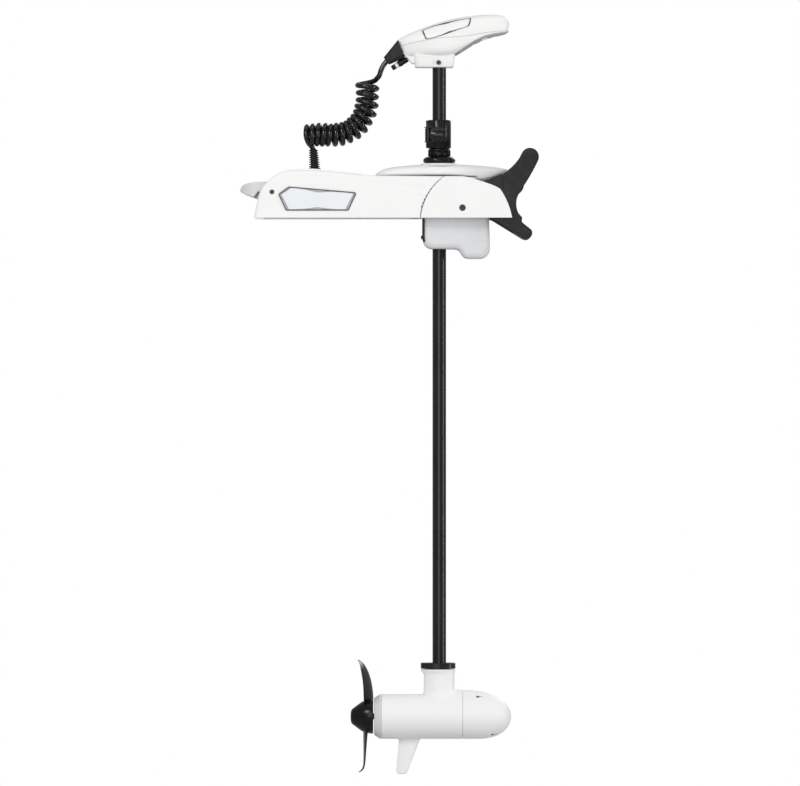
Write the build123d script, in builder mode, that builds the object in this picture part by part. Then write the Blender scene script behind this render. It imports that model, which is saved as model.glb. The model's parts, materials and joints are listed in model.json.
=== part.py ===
"""Bow-mount electric-steer trolling motor, millimetres, +Z up, +X outboard over the bow.

The origin is the centre of the deck bolt pattern on the underside of the base rail.
Starboard is -Y and port is +Y. Each piece is one STEP file in parts/.
"""
from build123d import *
from math import pi, radians, tan
import os

os.makedirs("parts", exist_ok=True)

# ---- Driving dimensions ------------------------------------------------------------------
RUNNING = 0.06          # radial clearance of a running fit
GAP = 0.5               # space between pieces that move past each other
WALL = 3.0              # moulded cover wall

SHAFT_X = 219.0         # shaft axis
SHAFT_R = 14.3
SHAFT_TOP = 328.0
SHAFT_BOTTOM = -960.0

PIVOT_X, PIVOT_Z = 105.0, 53.0      # tilt axis of the steering unit
PEDAL_X, PEDAL_Z = -131.0, 53.6     # release pedal axis

PLATE_IN = 54.0         # inner face of the side plates, from the centre plane
PLATE_T = 4.0
PLATE_OUT = PLATE_IN + PLATE_T
COVER_OUT = 85.0        # outer face of the side covers
END_OUT = 87.0          # outer face of the end covers
RAMP_IN, RAMP_OUT = 60.0, 80.0      # faces of the motor ramps
RAMP_SLOT = 19.0        # half width of the slot between the ramps' wings
BASE_T = 4.0
BOLT_DX, BOLT_DY = 200.0, 80.0      # deck bolt pattern
BOLT_R = 3.5

CASE_HALF = 48.0        # half width of the steering case
CASE_X0 = 184.0         # inboard face of the steering case
CASE_TOP = 87.0
SLEEVE_R = 20.0
GEAR_MODULE = 1.5
GEAR_TEETH, PINION_TEETH = 38, 18
PINION_X = SHAFT_X + GEAR_MODULE * (GEAR_TEETH + PINION_TEETH) / 2

COLLAR_Z = 116.0        # underside of the depth collar flange
HEAD_Z = 316.5          # underside of the control head
POD_Z = -1045.6         # propeller axis
POD_R = 46.5
POD_X0, POD_X1 = 97.0, 267.5
PROP_R = 117.0


def save(builder, name):
    """Label a finished piece and write it as its own STEP file."""
    builder.part.label = name
    export_step(builder.part, f"parts/{name}.step")


def save_pair(builder, name):
    """Write a starboard piece and its port mirror image."""
    save(builder, f"{name}_starboard")
    with BuildPart() as port:
        mirror(builder.part, about=Plane.XZ)
    save(port, f"{name}_port")


def side_plane(y):
    """Sketch plane facing starboard, at a distance from the centre plane; its axes are X and Z."""
    return Plane.XZ.offset(y)


# ---- Deck mount --------------------------------------------------------------------------
with BuildPart() as base_rail:
    with BuildSketch(Plane.XY):
        with Locations((5, 0)):
            Rectangle(310, 2 * PLATE_IN)
        with GridLocations(BOLT_DX, BOLT_DY, 2, 2):
            Circle(BOLT_R, mode=Mode.SUBTRACT)
        SlotOverall(120, 34, mode=Mode.SUBTRACT)
    extrude(amount=BASE_T)
    with BuildSketch(Plane.XY.offset(BASE_T)):
        with Locations((5, PLATE_IN - 2), (5, 2 - PLATE_IN)):
            Rectangle(310, 4)
    extrude(amount=14)
save(base_rail, "base_rail")

with BuildPart() as side_plate:
    with BuildSketch(side_plane(PLATE_IN)):
        with BuildLine():
            Polyline((-150, 0), (345, 0), (335, 45), (300, 66), (222, 78), (-40, 88), (-108, 84),
                     (-134, 72), (-147, 50), close=True)
        make_face()
        with Locations((PIVOT_X, PIVOT_Z)):
            Circle(13, mode=Mode.SUBTRACT)
        with Locations((PEDAL_X, PEDAL_Z)):
            Circle(5, mode=Mode.SUBTRACT)
        with Locations((-20, 42)):
            SlotOverall(110, 30, mode=Mode.SUBTRACT)
    extrude(amount=PLATE_T)
save_pair(side_plate, "side_plate")

SEAM_TOP, SEAM_MID, SEAM_END = (228, 86.7), (193, 48), (178, 0)
with BuildPart() as side_cover:
    with BuildSketch(side_plane(PLATE_OUT)):
        with BuildLine():
            Line((-169, 0), (-161, 38))
            Spline((-161, 38), (-142.6, 74), (-113, 95), (-90, 99), tangents=((0.2, 1), (1, 0.02)))
            Spline((-90, 99), (-40, 98.8), (15, 94), (88, 88), tangents=((1, 0.02), (1, -0.03)))
            Line((88, 88), SEAM_TOP)
            ThreePointArc(SEAM_TOP, SEAM_MID, SEAM_END)
            Line(SEAM_END, (-169, 0))
        make_face()
    extrude(amount=COVER_OUT - PLATE_OUT)
    outer_face = side_cover.faces().sort_by(Axis.Y)[0]
    top_edges = outer_face.edges().filter_by(lambda e: e.center().Z > 10 and e.center().X < 170)
    fillet(top_edges, radius=7)
    with BuildSketch(side_plane(PLATE_OUT)):
        with BuildLine():
            Polyline((174, 3), (-165, 3), (-157, 38), (-139, 70), (-110, 91), (-90, 95), (-40, 94.5),
                     (15, 90), (88, 84.5), (221, 83.5))
            ThreePointArc((221, 83.5), (189, 47), (174, 3))
        make_face()
    extrude(amount=COVER_OUT - PLATE_OUT - WALL, mode=Mode.SUBTRACT)
    with BuildSketch(side_plane(COVER_OUT)):
        for groove_z, groove_x0, groove_x1 in ((65, 128, 190), (46, 120, 184), (27, 112, 172)):
            with Locations(((groove_x0 + groove_x1) / 2, groove_z)):
                SlotOverall(groove_x1 - groove_x0, 7)
    extrude(amount=-0.8, mode=Mode.SUBTRACT)
    with BuildSketch(side_plane(COVER_OUT)):
        with Locations((PEDAL_X, PEDAL_Z)):
            Circle(5.2)
    extrude(amount=-WALL, mode=Mode.SUBTRACT)
save_pair(side_cover, "side_cover")

SEAM_GAP = 1.6
with BuildPart() as end_cover:
    with BuildSketch(side_plane(PLATE_OUT)):
        with BuildLine():
            Line((228 + SEAM_GAP, 86.7), (262, 86.6))
            Spline((262, 86.6), (306, 76.5), (346, 60), tangents=((1, 0), (1, -0.7)))
            ThreePointArc((346, 60), (361, 33), (371, 0))
            Line((371, 0), (178 + SEAM_GAP, 0))
            ThreePointArc((178 + SEAM_GAP, 0), (193 + SEAM_GAP, 48), (228 + SEAM_GAP, 86.7))
        make_face()
    extrude(amount=END_OUT - PLATE_OUT)
    outer_face = end_cover.faces().sort_by(Axis.Y)[0]
    fillet(outer_face.edges().filter_by(lambda e: e.center().Z > 10), radius=3)
    with BuildSketch(side_plane(PLATE_OUT)):
        with BuildLine():
            Polyline((183.5, 3), (367.3, 3), (357, 32), (343, 57), (304, 73), (262, 83.2), (234.5, 83.4))
            ThreePointArc((234.5, 83.4), (198, 46.5), (183.5, 3))
        make_face()
    extrude(amount=END_OUT - PLATE_OUT - WALL, mode=Mode.SUBTRACT)
    with BuildSketch(side_plane(END_OUT)):
        with Locations((267, 20.6)):
            Circle(7)
    extrude(amount=-WALL, mode=Mode.SUBTRACT)
    with BuildSketch(side_plane(PLATE_OUT)):
        with Locations((340, 40)):
            Rectangle(76, 120)
    extrude(amount=RAMP_OUT + GAP - PLATE_OUT, mode=Mode.SUBTRACT)
save_pair(end_cover, "end_cover")

with BuildPart() as end_cover_screws:
    for side in (1, -1):
        screw_plane = Plane((267, -side * (PLATE_OUT + 0.2), 20.6), x_dir=(1, 0, 0), z_dir=(0, -side, 0))
        with BuildSketch(screw_plane):
            Circle(3)
        extrude(amount=22)
        with BuildSketch(screw_plane.offset(22)):
            Circle(6.4)
            RegularPolygon(3.4, 6, mode=Mode.SUBTRACT)
        extrude(amount=6)
save(end_cover_screws, "end_cover_screws")

with BuildPart() as deck_cover:
    with BuildSketch(Plane.XZ):
        with BuildLine():
            Spline((-128, 86), (-112, 96), (-90, 101.5), (-40, 102.5), (15, 98), (54, 94),
                   tangents=((1, 0.9), (1, -0.1)))
            Line((54, 94), (54, 90.5))
            Spline((54, 90.5), (15, 94.5), (-40, 99), (-90, 98), (-109, 93), (-125, 84),
                   tangents=((-1, 0.1), (-1, -0.9)))
            Line((-125, 84), (-128, 86))
        make_face()
    extrude(amount=PLATE_OUT, both=True)
    with BuildSketch(Plane.XY.offset(80)):
        with Locations((-43, 0)):
            Circle(9)
    extrude(amount=40, mode=Mode.SUBTRACT)
save(deck_cover, "deck_cover")

with BuildPart() as strain_relief:
    with BuildSketch(Plane.XZ):
        with BuildLine():
            Polyline((-43 + 5.6, 88), (-43 + 8.8, 88), (-43 + 8.8, 103.6), (-43 + 13, 103.6), (-43 + 13, 106),
                     (-43 + 9.2, 107.5), (-43 + 8.2, 144), (-43 + 5.6, 144), close=True)
        make_face()
    revolve(axis=Axis((-43, 0, 0), (0, 0, 1)))
    for ring in range(7):
        with Locations((-43, 0, 110 + 5 * ring)):
            Torus(8.6, 1.8)
    with BuildSketch(Plane.XY.offset(87)):
        with Locations((-43, 0)):
            Circle(5.6)
    extrude(amount=60, mode=Mode.SUBTRACT)
save(strain_relief, "strain_relief")

BADGE = ((-118, 49), (-96, 65), (46.6, 52.7), (28.8, 14.5), (-102, 14.5))
with BuildPart() as side_badge_frames:
    with BuildSketch(side_plane(COVER_OUT)) as badge_outline:
        with BuildLine():
            Polyline(*BADGE, close=True)
        make_face()
        fillet(badge_outline.vertices(), radius=4)
        offset(amount=-2.6, mode=Mode.SUBTRACT)
    extrude(amount=1.8)
    chamfer(side_badge_frames.faces().sort_by(Axis.Y)[0].edges(), length=0.5)
    mirror(about=Plane.XZ)
save(side_badge_frames, "side_badge_frames")

with BuildPart() as side_badge_plates:
    with BuildSketch(side_plane(COVER_OUT)) as plate_outline:
        with BuildLine():
            Polyline(*BADGE, close=True)
        make_face()
        fillet(plate_outline.vertices(), radius=4)
        offset(amount=-2.7, mode=Mode.REPLACE)
    extrude(amount=0.9)
    mirror(about=Plane.XZ)
save(side_badge_plates, "side_badge_plates")

# Motor ramps: an outer plate each side, with wings that narrow the slot where the shaft rests.
with BuildSketch() as ramp_outline:
    with BuildLine():
        Polyline((322, -2), (309, 40), (309, 75), (350, 92))
        ThreePointArc((350, 92), (371, 107), (390, 132))
        ThreePointArc((390, 132), (407.5, 146), (425, 119))
        Spline((425, 119), (410, 90), (396, 68))
        Polyline((396, 68), (394, 60), (386, 52))
        ThreePointArc((386, 52), (379.6, 30), (385, 8))
        Polyline((385, 8), (392, 1), (391, -9), (411, -25))
        ThreePointArc((411, -25), (412, -37), (395, -43))
        Polyline((395, -43), (330, -3), (322, -2))
    make_face()

with BuildPart() as motor_ramp:
    with BuildSketch(side_plane(RAMP_IN)):
        add(ramp_outline.sketch)
    extrude(amount=RAMP_OUT - RAMP_IN)
    with BuildSketch(side_plane(RAMP_SLOT)):
        add(ramp_outline.sketch)
        with Locations((376, 50)):
            Rectangle(100, 220, align=(Align.MAX, Align.CENTER), mode=Mode.SUBTRACT)
    extrude(amount=RAMP_IN - RAMP_SLOT + 1)
save_pair(motor_ramp, "motor_ramp")

# Pivot pin of the steering unit, with flanged bushes in the side plates.
PIN_R = 8.0
BUSH_R = 13.0
with BuildPart() as tilt_pivot_pin:
    with BuildSketch(side_plane(-(PLATE_OUT + 6))):
        with Locations((PIVOT_X, PIVOT_Z)):
            Circle(PIN_R)
    extrude(amount=2 * (PLATE_OUT + 6))
    with BuildSketch(side_plane(PLATE_OUT + 2.5)):
        with Locations((PIVOT_X, PIVOT_Z)):
            Circle(11)
    extrude(amount=3.5)
    mirror(about=Plane.XZ)
    chamfer(tilt_pivot_pin.edges().filter_by(GeomType.CIRCLE).group_by(Axis.Y)[0], length=0.8)
save(tilt_pivot_pin, "tilt_pivot_pin")

with BuildPart() as tilt_bushes:
    for side in (1, -1):
        bush_plane = Plane((PIVOT_X, -side * (PLATE_IN - 1.6), PIVOT_Z), x_dir=(1, 0, 0), z_dir=(0, -side, 0))
        with BuildSketch(bush_plane):
            Circle(16)
            Circle(PIN_R, mode=Mode.SUBTRACT)
        extrude(amount=1.6)
        with BuildSketch(bush_plane.offset(1.6)):
            Circle(BUSH_R)
            Circle(PIN_R, mode=Mode.SUBTRACT)
        extrude(amount=PLATE_T + 0.5)
save(tilt_bushes, "tilt_bushes")

# Release pedal: a lever on its own pin, tied by the latch bolt to the inboard end of the steering unit.
PEDAL_PIN_R = 5.0
with BuildPart() as pedal_pivot_pin:
    with BuildSketch(side_plane(-COVER_OUT + 1)):
        with Locations((PEDAL_X, PEDAL_Z)):
            Circle(PEDAL_PIN_R)
    extrude(amount=2 * (COVER_OUT - 1))
    for face in pedal_pivot_pin.faces().filter_by(Axis.Y):
        with BuildSketch(face):
            RegularPolygon(2.8, 6)
        extrude(amount=-3, mode=Mode.SUBTRACT)
save(pedal_pivot_pin, "pedal_pivot_pin")

PEDAL_HALF = 38.0
with BuildPart() as release_pedal:
    with BuildSketch(side_plane(-PEDAL_HALF)):
        with BuildLine():
            Spline((-199, 56), (-196, 66), (-184, 73), (-168, 76), (-128, 77.5), tangents=((0, 1), (1, 0.05)))
            Polyline((-128, 77.5), (-120, 70), (-119, 50), (-124, 43), (-138, 43), (-146, 50), (-160, 56),
                     (-170, 43.5), (-186, 49))
            Line((-186, 49), (-199, 56))
        make_face()
        with Locations((PEDAL_X, PEDAL_Z)):
            Circle(PEDAL_PIN_R + RUNNING, mode=Mode.SUBTRACT)
    extrude(amount=2 * PEDAL_HALF)
    with BuildSketch(Plane.XY.offset(30), mode=Mode.PRIVATE) as pedal_plan:
        with BuildLine():
            Polyline((-115, 38), (-150, 38), (-176, 36))
            ThreePointArc((-176, 36), (-201, 0), (-176, -36))
            Polyline((-176, -36), (-150, -38), (-115, -38), (-115, 38))
        make_face()
    extrude(pedal_plan.sketch, amount=60, mode=Mode.INTERSECT)
    fillet(release_pedal.edges().filter_by(lambda e: e.center().X < -180 and e.center().Z > 60), radius=2)
    with BuildSketch(side_plane(-7)):
        with Locations((-116, 70)):
            Rectangle(26, 22)
    extrude(amount=14, mode=Mode.SUBTRACT)
save(release_pedal, "release_pedal")

with BuildPart() as pedal_pad:
    with BuildSketch(side_plane(-30)):
        with BuildLine():
            Polyline((-160.5, 55.4), (-169.6, 43), (-160, 40), (-151, 41), (-146.6, 49.6), close=True)
        make_face()
    extrude(amount=60)
save(pedal_pad, "pedal_pad")

BOLT_HALF = 5.0
LATCH_Z = 70.0
LATCH_NOSE = 54.0       # clear of the dome cover's sweep about the pivot
with BuildPart() as latch_bolt:
    with BuildSketch(Plane.YZ.offset(-124)):
        with Locations((0, LATCH_Z)):
            RectangleRounded(2 * BOLT_HALF, 8, 1.5)
    extrude(amount=LATCH_NOSE + 124)
    chamfer(latch_bolt.faces().sort_by(Axis.X)[-1].edges(), length=1.5)
save(latch_bolt, "latch_bolt")

with BuildPart() as latch_guide:
    for guide_x in (-70, 20):
        with BuildSketch(Plane.YZ.offset(guide_x)):
            with Locations((0, 72)):
                Rectangle(2 * PLATE_IN, 20)
            with Locations((0, LATCH_Z)):
                RectangleRounded(2 * BOLT_HALF + 0.8, 8.8, 1.9, mode=Mode.SUBTRACT)
        extrude(amount=16)
save(latch_guide, "latch_guide")

# ---- Steering unit -----------------------------------------------------------------------
CASE_WALL = 4.0
with BuildPart() as steering_case:
    with BuildSketch(side_plane(-CASE_HALF)) as case_outline:
        with BuildLine():
            Polyline((CASE_X0, CASE_TOP), (CASE_X0, -44))
            ThreePointArc((CASE_X0, -44), (190, -58.7), (204, -64.8))
            Line((204, -64.8), (250, -64.8))
            ThreePointArc((250, -64.8), (260, -68), (265, -74.8))
            ThreePointArc((265, -74.8), (270, -81.6), (280, -84.8))
            Line((280, -84.8), (306, -84.8))
            ThreePointArc((306, -84.8), (319, -79), (325, -66))
            Polyline((325, -66), (323, 0), (300, 40), (300, CASE_TOP), (CASE_X0, CASE_TOP))
        make_face()
    extrude(amount=2 * CASE_HALF)
    long_edges = steering_case.edges().filter_by(Axis.Z)
    fillet(long_edges, radius=9)
    with BuildSketch(side_plane(-CASE_HALF + CASE_WALL)):
        offset(case_outline.sketch_local, amount=-CASE_WALL)
        with Locations((CASE_X0 + CASE_WALL, CASE_TOP - CASE_WALL - 1)):
            Rectangle(300 - CASE_X0 - 2 * CASE_WALL, 20, align=(Align.MIN, Align.MIN))
    extrude(amount=2 * (CASE_HALF - CASE_WALL), mode=Mode.SUBTRACT)
    with BuildSketch(Plane.XY.offset(-90)):
        with Locations((SHAFT_X, 0)):
            Circle(SLEEVE_R + 4)
    extrude(amount=60, mode=Mode.SUBTRACT)
    with BuildSketch(side_plane(-CASE_HALF)) as arm_outline:
        with BuildLine():
            Polyline((CASE_X0 + 1, 20), (CASE_X0 + 1, CASE_TOP), (PIVOT_X + 10, CASE_TOP))
            ThreePointArc((PIVOT_X + 10, CASE_TOP), (PIVOT_X - 34, PIVOT_Z + 2), (PIVOT_X, PIVOT_Z - 34))
            Line((PIVOT_X, PIVOT_Z - 34), (CASE_X0 + 1, 20))
        make_face()
    extrude(amount=9)
    with BuildSketch(side_plane(CASE_HALF - 9)):
        add(arm_outline.sketch_local)
    extrude(amount=9)
    with BuildSketch(side_plane(-CASE_HALF - 1)):
        with Locations((PIVOT_X, PIVOT_Z)):
            Circle(PIN_R + RUNNING)
    extrude(amount=2 * CASE_HALF + 2, mode=Mode.SUBTRACT)
    with BuildSketch(Plane.XY.offset(70)):
        with Locations((PIVOT_X + 42, 0)):
            Rectangle(8, 2 * CASE_HALF - 2)
    extrude(amount=12)
    with BuildSketch(Plane.XY.offset(74)):
        with Locations((SHAFT_X - 2, 0)):
            Rectangle(50, 2 * CASE_HALF - 4)
        with Locations((SHAFT_X, 0)):
            Circle(SLEEVE_R + 2, mode=Mode.SUBTRACT)
    extrude(amount=2)
save(steering_case, "steering_case")

with BuildPart() as case_seal:
    with BuildSketch(Plane.XY.offset(CASE_TOP)):
        with Locations((CASE_X0 + 3, 0)):
            Rectangle(300 - CASE_X0 - 6, 2 * CASE_HALF - 6, align=(Align.MIN, Align.CENTER))
            Rectangle(300 - CASE_X0 - 6, 2 * CASE_HALF - 9, align=(Align.MIN, Align.CENTER),
                      mode=Mode.SUBTRACT)
    extrude(amount=1.4)
save(case_seal, "case_seal")

DOME_SEAT = CASE_TOP + 1.4
BOSS_R = 38.0
BOSS_TOP = COLLAR_Z - GAP
with BuildPart() as dome_cover:
    with BuildSketch(side_plane(-CASE_HALF)):
        with BuildLine():
            Spline((87, 90), (106, 101.5), (141, 109.5), (190, 113), (258, 113), (308, 110.5), (360, 104),
                   tangents=((0.3, 1), (1, -0.2)))
            Polyline((360, 104), (363, 101), (312, DOME_SEAT), (87, DOME_SEAT), (87, 90))
        make_face()
    extrude(amount=2 * CASE_HALF)
    with BuildSketch(Plane.XY.offset(70), mode=Mode.PRIVATE) as dome_plan:
        with BuildLine():
            Spline((118, -47), (94, -38), (87, 0), (94, 38), (118, 47), tangents=((-1, 0.05), (1, 0.05)))
            Line((118, 47), (290, 47))
            Spline((290, 47), (335, 38), (363, 0), (335, -38), (290, -47), tangents=((1, 0), (-1, 0)))
            Line((290, -47), (118, -47))
        make_face()
    extrude(dome_plan.sketch, amount=80, mode=Mode.INTERSECT)
    with BuildSketch(Plane.XY.offset(DOME_SEAT)):
        with Locations((198, 0)):
            RectangleRounded(190, 84, 20)
    extrude(amount=10, mode=Mode.SUBTRACT)
    with BuildSketch(Plane.XY.offset(DOME_SEAT + 10)):
        with Locations((SHAFT_X, 0)):
            Circle(BOSS_R)
    extrude(amount=BOSS_TOP - DOME_SEAT - 10)
    with BuildSketch(Plane.XY.offset(80)):
        with Locations((SHAFT_X, 0)):
            Circle(SLEEVE_R + 1)
    extrude(amount=60, mode=Mode.SUBTRACT)
save(dome_cover, "dome_cover")

with BuildPart() as sleeve_bearings:
    for bearing_z in (-53, 76):
        with BuildSketch(Plane.XY.offset(bearing_z)):
            with Locations((SHAFT_X, 0)):
                Circle(SLEEVE_R + 5)
                Circle(SLEEVE_R + RUNNING, mode=Mode.SUBTRACT)
        extrude(amount=10)
save(sleeve_bearings, "sleeve_bearings")

# Steering motor, pinion and the sleeve gear that turns the shaft.
GEAR_Z, GEAR_T = 8.0, 12.0
PINION_Z = GEAR_Z - 1


def gear_face(center_x, teeth, tooth_angle):
    """Gear outline with straight-flanked teeth, centred on the X axis, one tooth at tooth_angle."""
    pitch_r = GEAR_MODULE * teeth / 2
    root_r, tip_r = pitch_r - 1.3 * GEAR_MODULE, pitch_r + 0.9 * GEAR_MODULE
    root_half = pi * GEAR_MODULE / 4 + 0.2
    tip_half = pi * GEAR_MODULE / 4 - 0.75
    with BuildSketch(mode=Mode.PRIVATE) as gear:
        Circle(root_r)
        with PolarLocations(0, teeth, start_angle=tooth_angle):
            Polygon((root_r - 1, -root_half), (tip_r, -tip_half), (tip_r, tip_half),
                    (root_r - 1, root_half), align=None)
    return Pos(center_x, 0) * gear.sketch


with BuildPart() as steer_gear:
    with BuildSketch(Plane.XY.offset(GEAR_Z)):
        add(gear_face(SHAFT_X, GEAR_TEETH, 0))
        with Locations((SHAFT_X, 0)):
            Circle(SLEEVE_R, mode=Mode.SUBTRACT)
    extrude(amount=GEAR_T)
save(steer_gear, "steer_gear")

with BuildPart() as steer_sleeve:
    with BuildSketch(Plane.XY.offset(-62)):
        with Locations((SHAFT_X, 0)):
            Circle(SLEEVE_R)
            Circle(SHAFT_R + RUNNING, mode=Mode.SUBTRACT)
    extrude(amount=62 + BOSS_TOP)
save(steer_sleeve, "steer_sleeve")

MOTOR_R = 19.0
MOTOR_Z0, MOTOR_Z1 = -42.0, -4.0
PINION_SHAFT_R = 3.2
with BuildPart() as steering_motor:
    with BuildSketch(Plane.XY.offset(MOTOR_Z0)):
        with Locations((PINION_X, 0)):
            Circle(MOTOR_R)
    extrude(amount=MOTOR_Z1 - MOTOR_Z0)
    fillet(steering_motor.edges().filter_by(GeomType.CIRCLE).sort_by(Axis.Z)[0], radius=3)
    with BuildSketch(Plane.XY.offset(MOTOR_Z1)):
        with Locations((PINION_X, 0)):
            Circle(8)
    extrude(amount=7)
    with BuildSketch(Plane.XY.offset(MOTOR_Z0 + 20)):
        with Locations((PINION_X, 0)):
            Circle(PINION_SHAFT_R + RUNNING)
    extrude(amount=60, mode=Mode.SUBTRACT)
save(steering_motor, "steering_motor")

with BuildPart() as motor_bracket:
    with BuildSketch(Plane.XY.offset(MOTOR_Z1)):
        with Locations((PINION_X + 10, 0)):
            Rectangle(64, 2 * (CASE_HALF - CASE_WALL))
        with Locations((PINION_X, 0)):
            Circle(8, mode=Mode.SUBTRACT)
        with Locations((SHAFT_X, 0)):
            Circle(SLEEVE_R + 1.5, mode=Mode.SUBTRACT)
    extrude(amount=3)
save(motor_bracket, "motor_bracket")

with BuildPart() as steer_pinion:
    with BuildSketch(Plane.XY.offset(PINION_Z)):
        add(gear_face(PINION_X, PINION_TEETH, 180 + 180 / PINION_TEETH))
    extrude(amount=GEAR_T + 2)
    with BuildSketch(Plane.XY.offset(MOTOR_Z0 + 20 + GAP)):
        with Locations((PINION_X, 0)):
            Circle(PINION_SHAFT_R)
    extrude(amount=PINION_Z + GEAR_T + 4 - MOTOR_Z0 - 20)
save(steer_pinion, "steer_pinion")

with BuildPart() as case_screws:
    for screw_y in (-36, 36):
        for screw_x in (196, 292):
            with BuildSketch(Plane((screw_x, screw_y, CASE_TOP - 9))):
                Circle(2)
            extrude(amount=9)
save(case_screws, "case_screws")

# ---- Depth collar ------------------------------------------------------------------------
CLAMP_Z0, CLAMP_Z1 = 146.4, 206.6
CLAMP_R = 24.7
LEVER_X, LEVER_Y = 195.5, -19.0
LEVER_Z0, LEVER_Z1 = 160.0, 190.0
LEVER_PIN_R = 2.5
with BuildPart() as depth_collar:
    with BuildSketch(Plane.XZ):
        with BuildLine():
            Polyline((SHAFT_X, COLLAR_Z), (SHAFT_X + 34.2, COLLAR_Z), (SHAFT_X + 35, 121),
                     (SHAFT_X + 24, 129), (SHAFT_X + 22, 129), (SHAFT_X + 19, 131), (SHAFT_X + 19, CLAMP_Z0),
                     (SHAFT_X + CLAMP_R, CLAMP_Z0 + 1.5), (SHAFT_X + CLAMP_R, CLAMP_Z1 - 1),
                     (SHAFT_X + CLAMP_R - 1, CLAMP_Z1), (SHAFT_X, CLAMP_Z1), close=True)
        make_face()
    revolve(axis=Axis((SHAFT_X, 0, 0), (0, 0, 1)))
    with BuildSketch(Plane.XY.offset(129)):
        with Locations((SHAFT_X, 0)):
            with PolarLocations(20, 10):
                Rectangle(5.5, 3.4)
    extrude(amount=CLAMP_Z0 - 127)
    with BuildSketch(Plane.XY.offset(CLAMP_Z0 + 8)):
        with Locations((LEVER_X, LEVER_Y)):
            Circle(9.2)
        with Locations((LEVER_X + 14, LEVER_Y - 14)):
            Rectangle(36, 17, rotation=-35)
    extrude(amount=CLAMP_Z1 - CLAMP_Z0 - 16, mode=Mode.SUBTRACT)
    for ear_z in (CLAMP_Z0 + 2, CLAMP_Z1 - 8):
        with BuildSketch(Plane.XY.offset(ear_z)):
            with Locations((LEVER_X, LEVER_Y)):
                Circle(6)
        extrude(amount=6)
    with BuildSketch(Plane.XY.offset(CLAMP_Z0)):
        with Locations((LEVER_X, LEVER_Y)):
            Circle(LEVER_PIN_R)
    extrude(amount=CLAMP_Z1 - CLAMP_Z0, mode=Mode.SUBTRACT)
    with BuildSketch(Plane.XY.offset(COLLAR_Z)):
        with Locations((SHAFT_X, 0)):
            Circle(SHAFT_R + RUNNING)
    extrude(amount=100, mode=Mode.SUBTRACT)
    with BuildSketch(Plane.XY.offset(CLAMP_Z0)):
        with Locations((SHAFT_X + 20, 0)):
            Rectangle(16, 2)
    extrude(amount=60.2, mode=Mode.SUBTRACT)
save(depth_collar, "depth_collar")

with BuildPart() as lever_pin:
    with BuildSketch(Plane.XY.offset(CLAMP_Z0 + 2)):
        with Locations((LEVER_X, LEVER_Y)):
            Circle(LEVER_PIN_R)
    extrude(amount=CLAMP_Z1 - CLAMP_Z0 - 4)
save(lever_pin, "lever_pin")

with BuildPart() as collar_lever:
    with BuildSketch(Plane.XY.offset(LEVER_Z0)):
        with Locations((LEVER_X, LEVER_Y)):
            Circle(6.6)
        with BuildLine():
            Polyline((LEVER_X - 3, LEVER_Y - 5), (LEVER_X + 6, LEVER_Y - 8.5), (LEVER_X + 30, LEVER_Y - 13),
                     (LEVER_X + 38, LEVER_Y - 12), (LEVER_X + 38, LEVER_Y - 8.5),
                     (LEVER_X + 24, LEVER_Y - 6.8), (LEVER_X + 4, LEVER_Y - 2), close=True)
        make_face()
    extrude(amount=LEVER_Z1 - LEVER_Z0)
    with BuildSketch(Plane.XY.offset(LEVER_Z0)):
        with Locations((LEVER_X, LEVER_Y)):
            Circle(LEVER_PIN_R + RUNNING)
    extrude(amount=LEVER_Z1 - LEVER_Z0, mode=Mode.SUBTRACT)
save(collar_lever, "collar_lever")

# ---- Shaft and control head --------------------------------------------------------------
SHAFT_WALL = 3.0
with BuildPart() as shaft_tube:
    with BuildSketch(Plane.XY.offset(SHAFT_BOTTOM)):
        with Locations((SHAFT_X, 0)):
            Circle(SHAFT_R)
            Circle(SHAFT_R - SHAFT_WALL, mode=Mode.SUBTRACT)
    extrude(amount=SHAFT_TOP - SHAFT_BOTTOM)
save(shaft_tube, "shaft_tube")

BOOT_TOP, BOOT_LOW = (132, 375.5), (147, 337)       # ends of the head's cord face
NOSE_TOP, NOSE_LOW = (345, 428), (361, 386)
CREASE = ((120, 358), (233, 378), (380, 391))
with BuildSketch() as head_profile:
    with BuildLine():
        Spline(BOOT_TOP, (179, 397.5), (224, 413.5), (282, 424.8), NOSE_TOP, tangents=((1, 0.5), (1, 0)))
        Spline(NOSE_TOP, (366, 412), NOSE_LOW, tangents=((1, 0), (-0.5, -1)))
        Spline(NOSE_LOW, (331, 380.5), (288, 362.7), (246, 337), tangents=((-1, -0.1), (-1, -0.6)))
        Polyline((246, 337), BOOT_LOW, BOOT_TOP)
    make_face()
with BuildSketch() as head_plan:
    with BuildLine():
        Spline((128, 30), (165, 46), (215, 55), (270, 49), (330, 31), (368, 14), tangents=((1, 0.7), (1, -0.5)))
        ThreePointArc((368, 14), (371, 0), (368, -14))
        Spline((128, -30), (165, -46), (215, -55), (270, -49), (330, -31), (368, -14),
               tangents=((1, -0.7), (1, 0.5)))
        Line((128, 30), (128, -30))
    make_face()


with BuildPart() as head_cavity:
    with BuildSketch(side_plane(-70)):
        with BuildLine():
            Polyline((136, 371), (180, 393), (225, 409), (283, 420.5), (343, 424), (362, 412), (363, 398),
                     (357, 389.5), (330, 384), (286, 366), (243, 340.5), (149.5, 340.5), close=True)
        make_face()
    extrude(amount=140)
    with BuildSketch(Plane.XY.offset(300)):
        with BuildLine():
            Polyline((131.5, 27), (165, 42.5), (215, 51.5), (269, 45.5), (328, 28), (365, 11), (365, -11),
                     (328, -28), (269, -45.5), (215, -51.5), (165, -42.5), (131.5, -27), close=True)
        make_face()
    extrude(amount=160, mode=Mode.INTERSECT)

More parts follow.
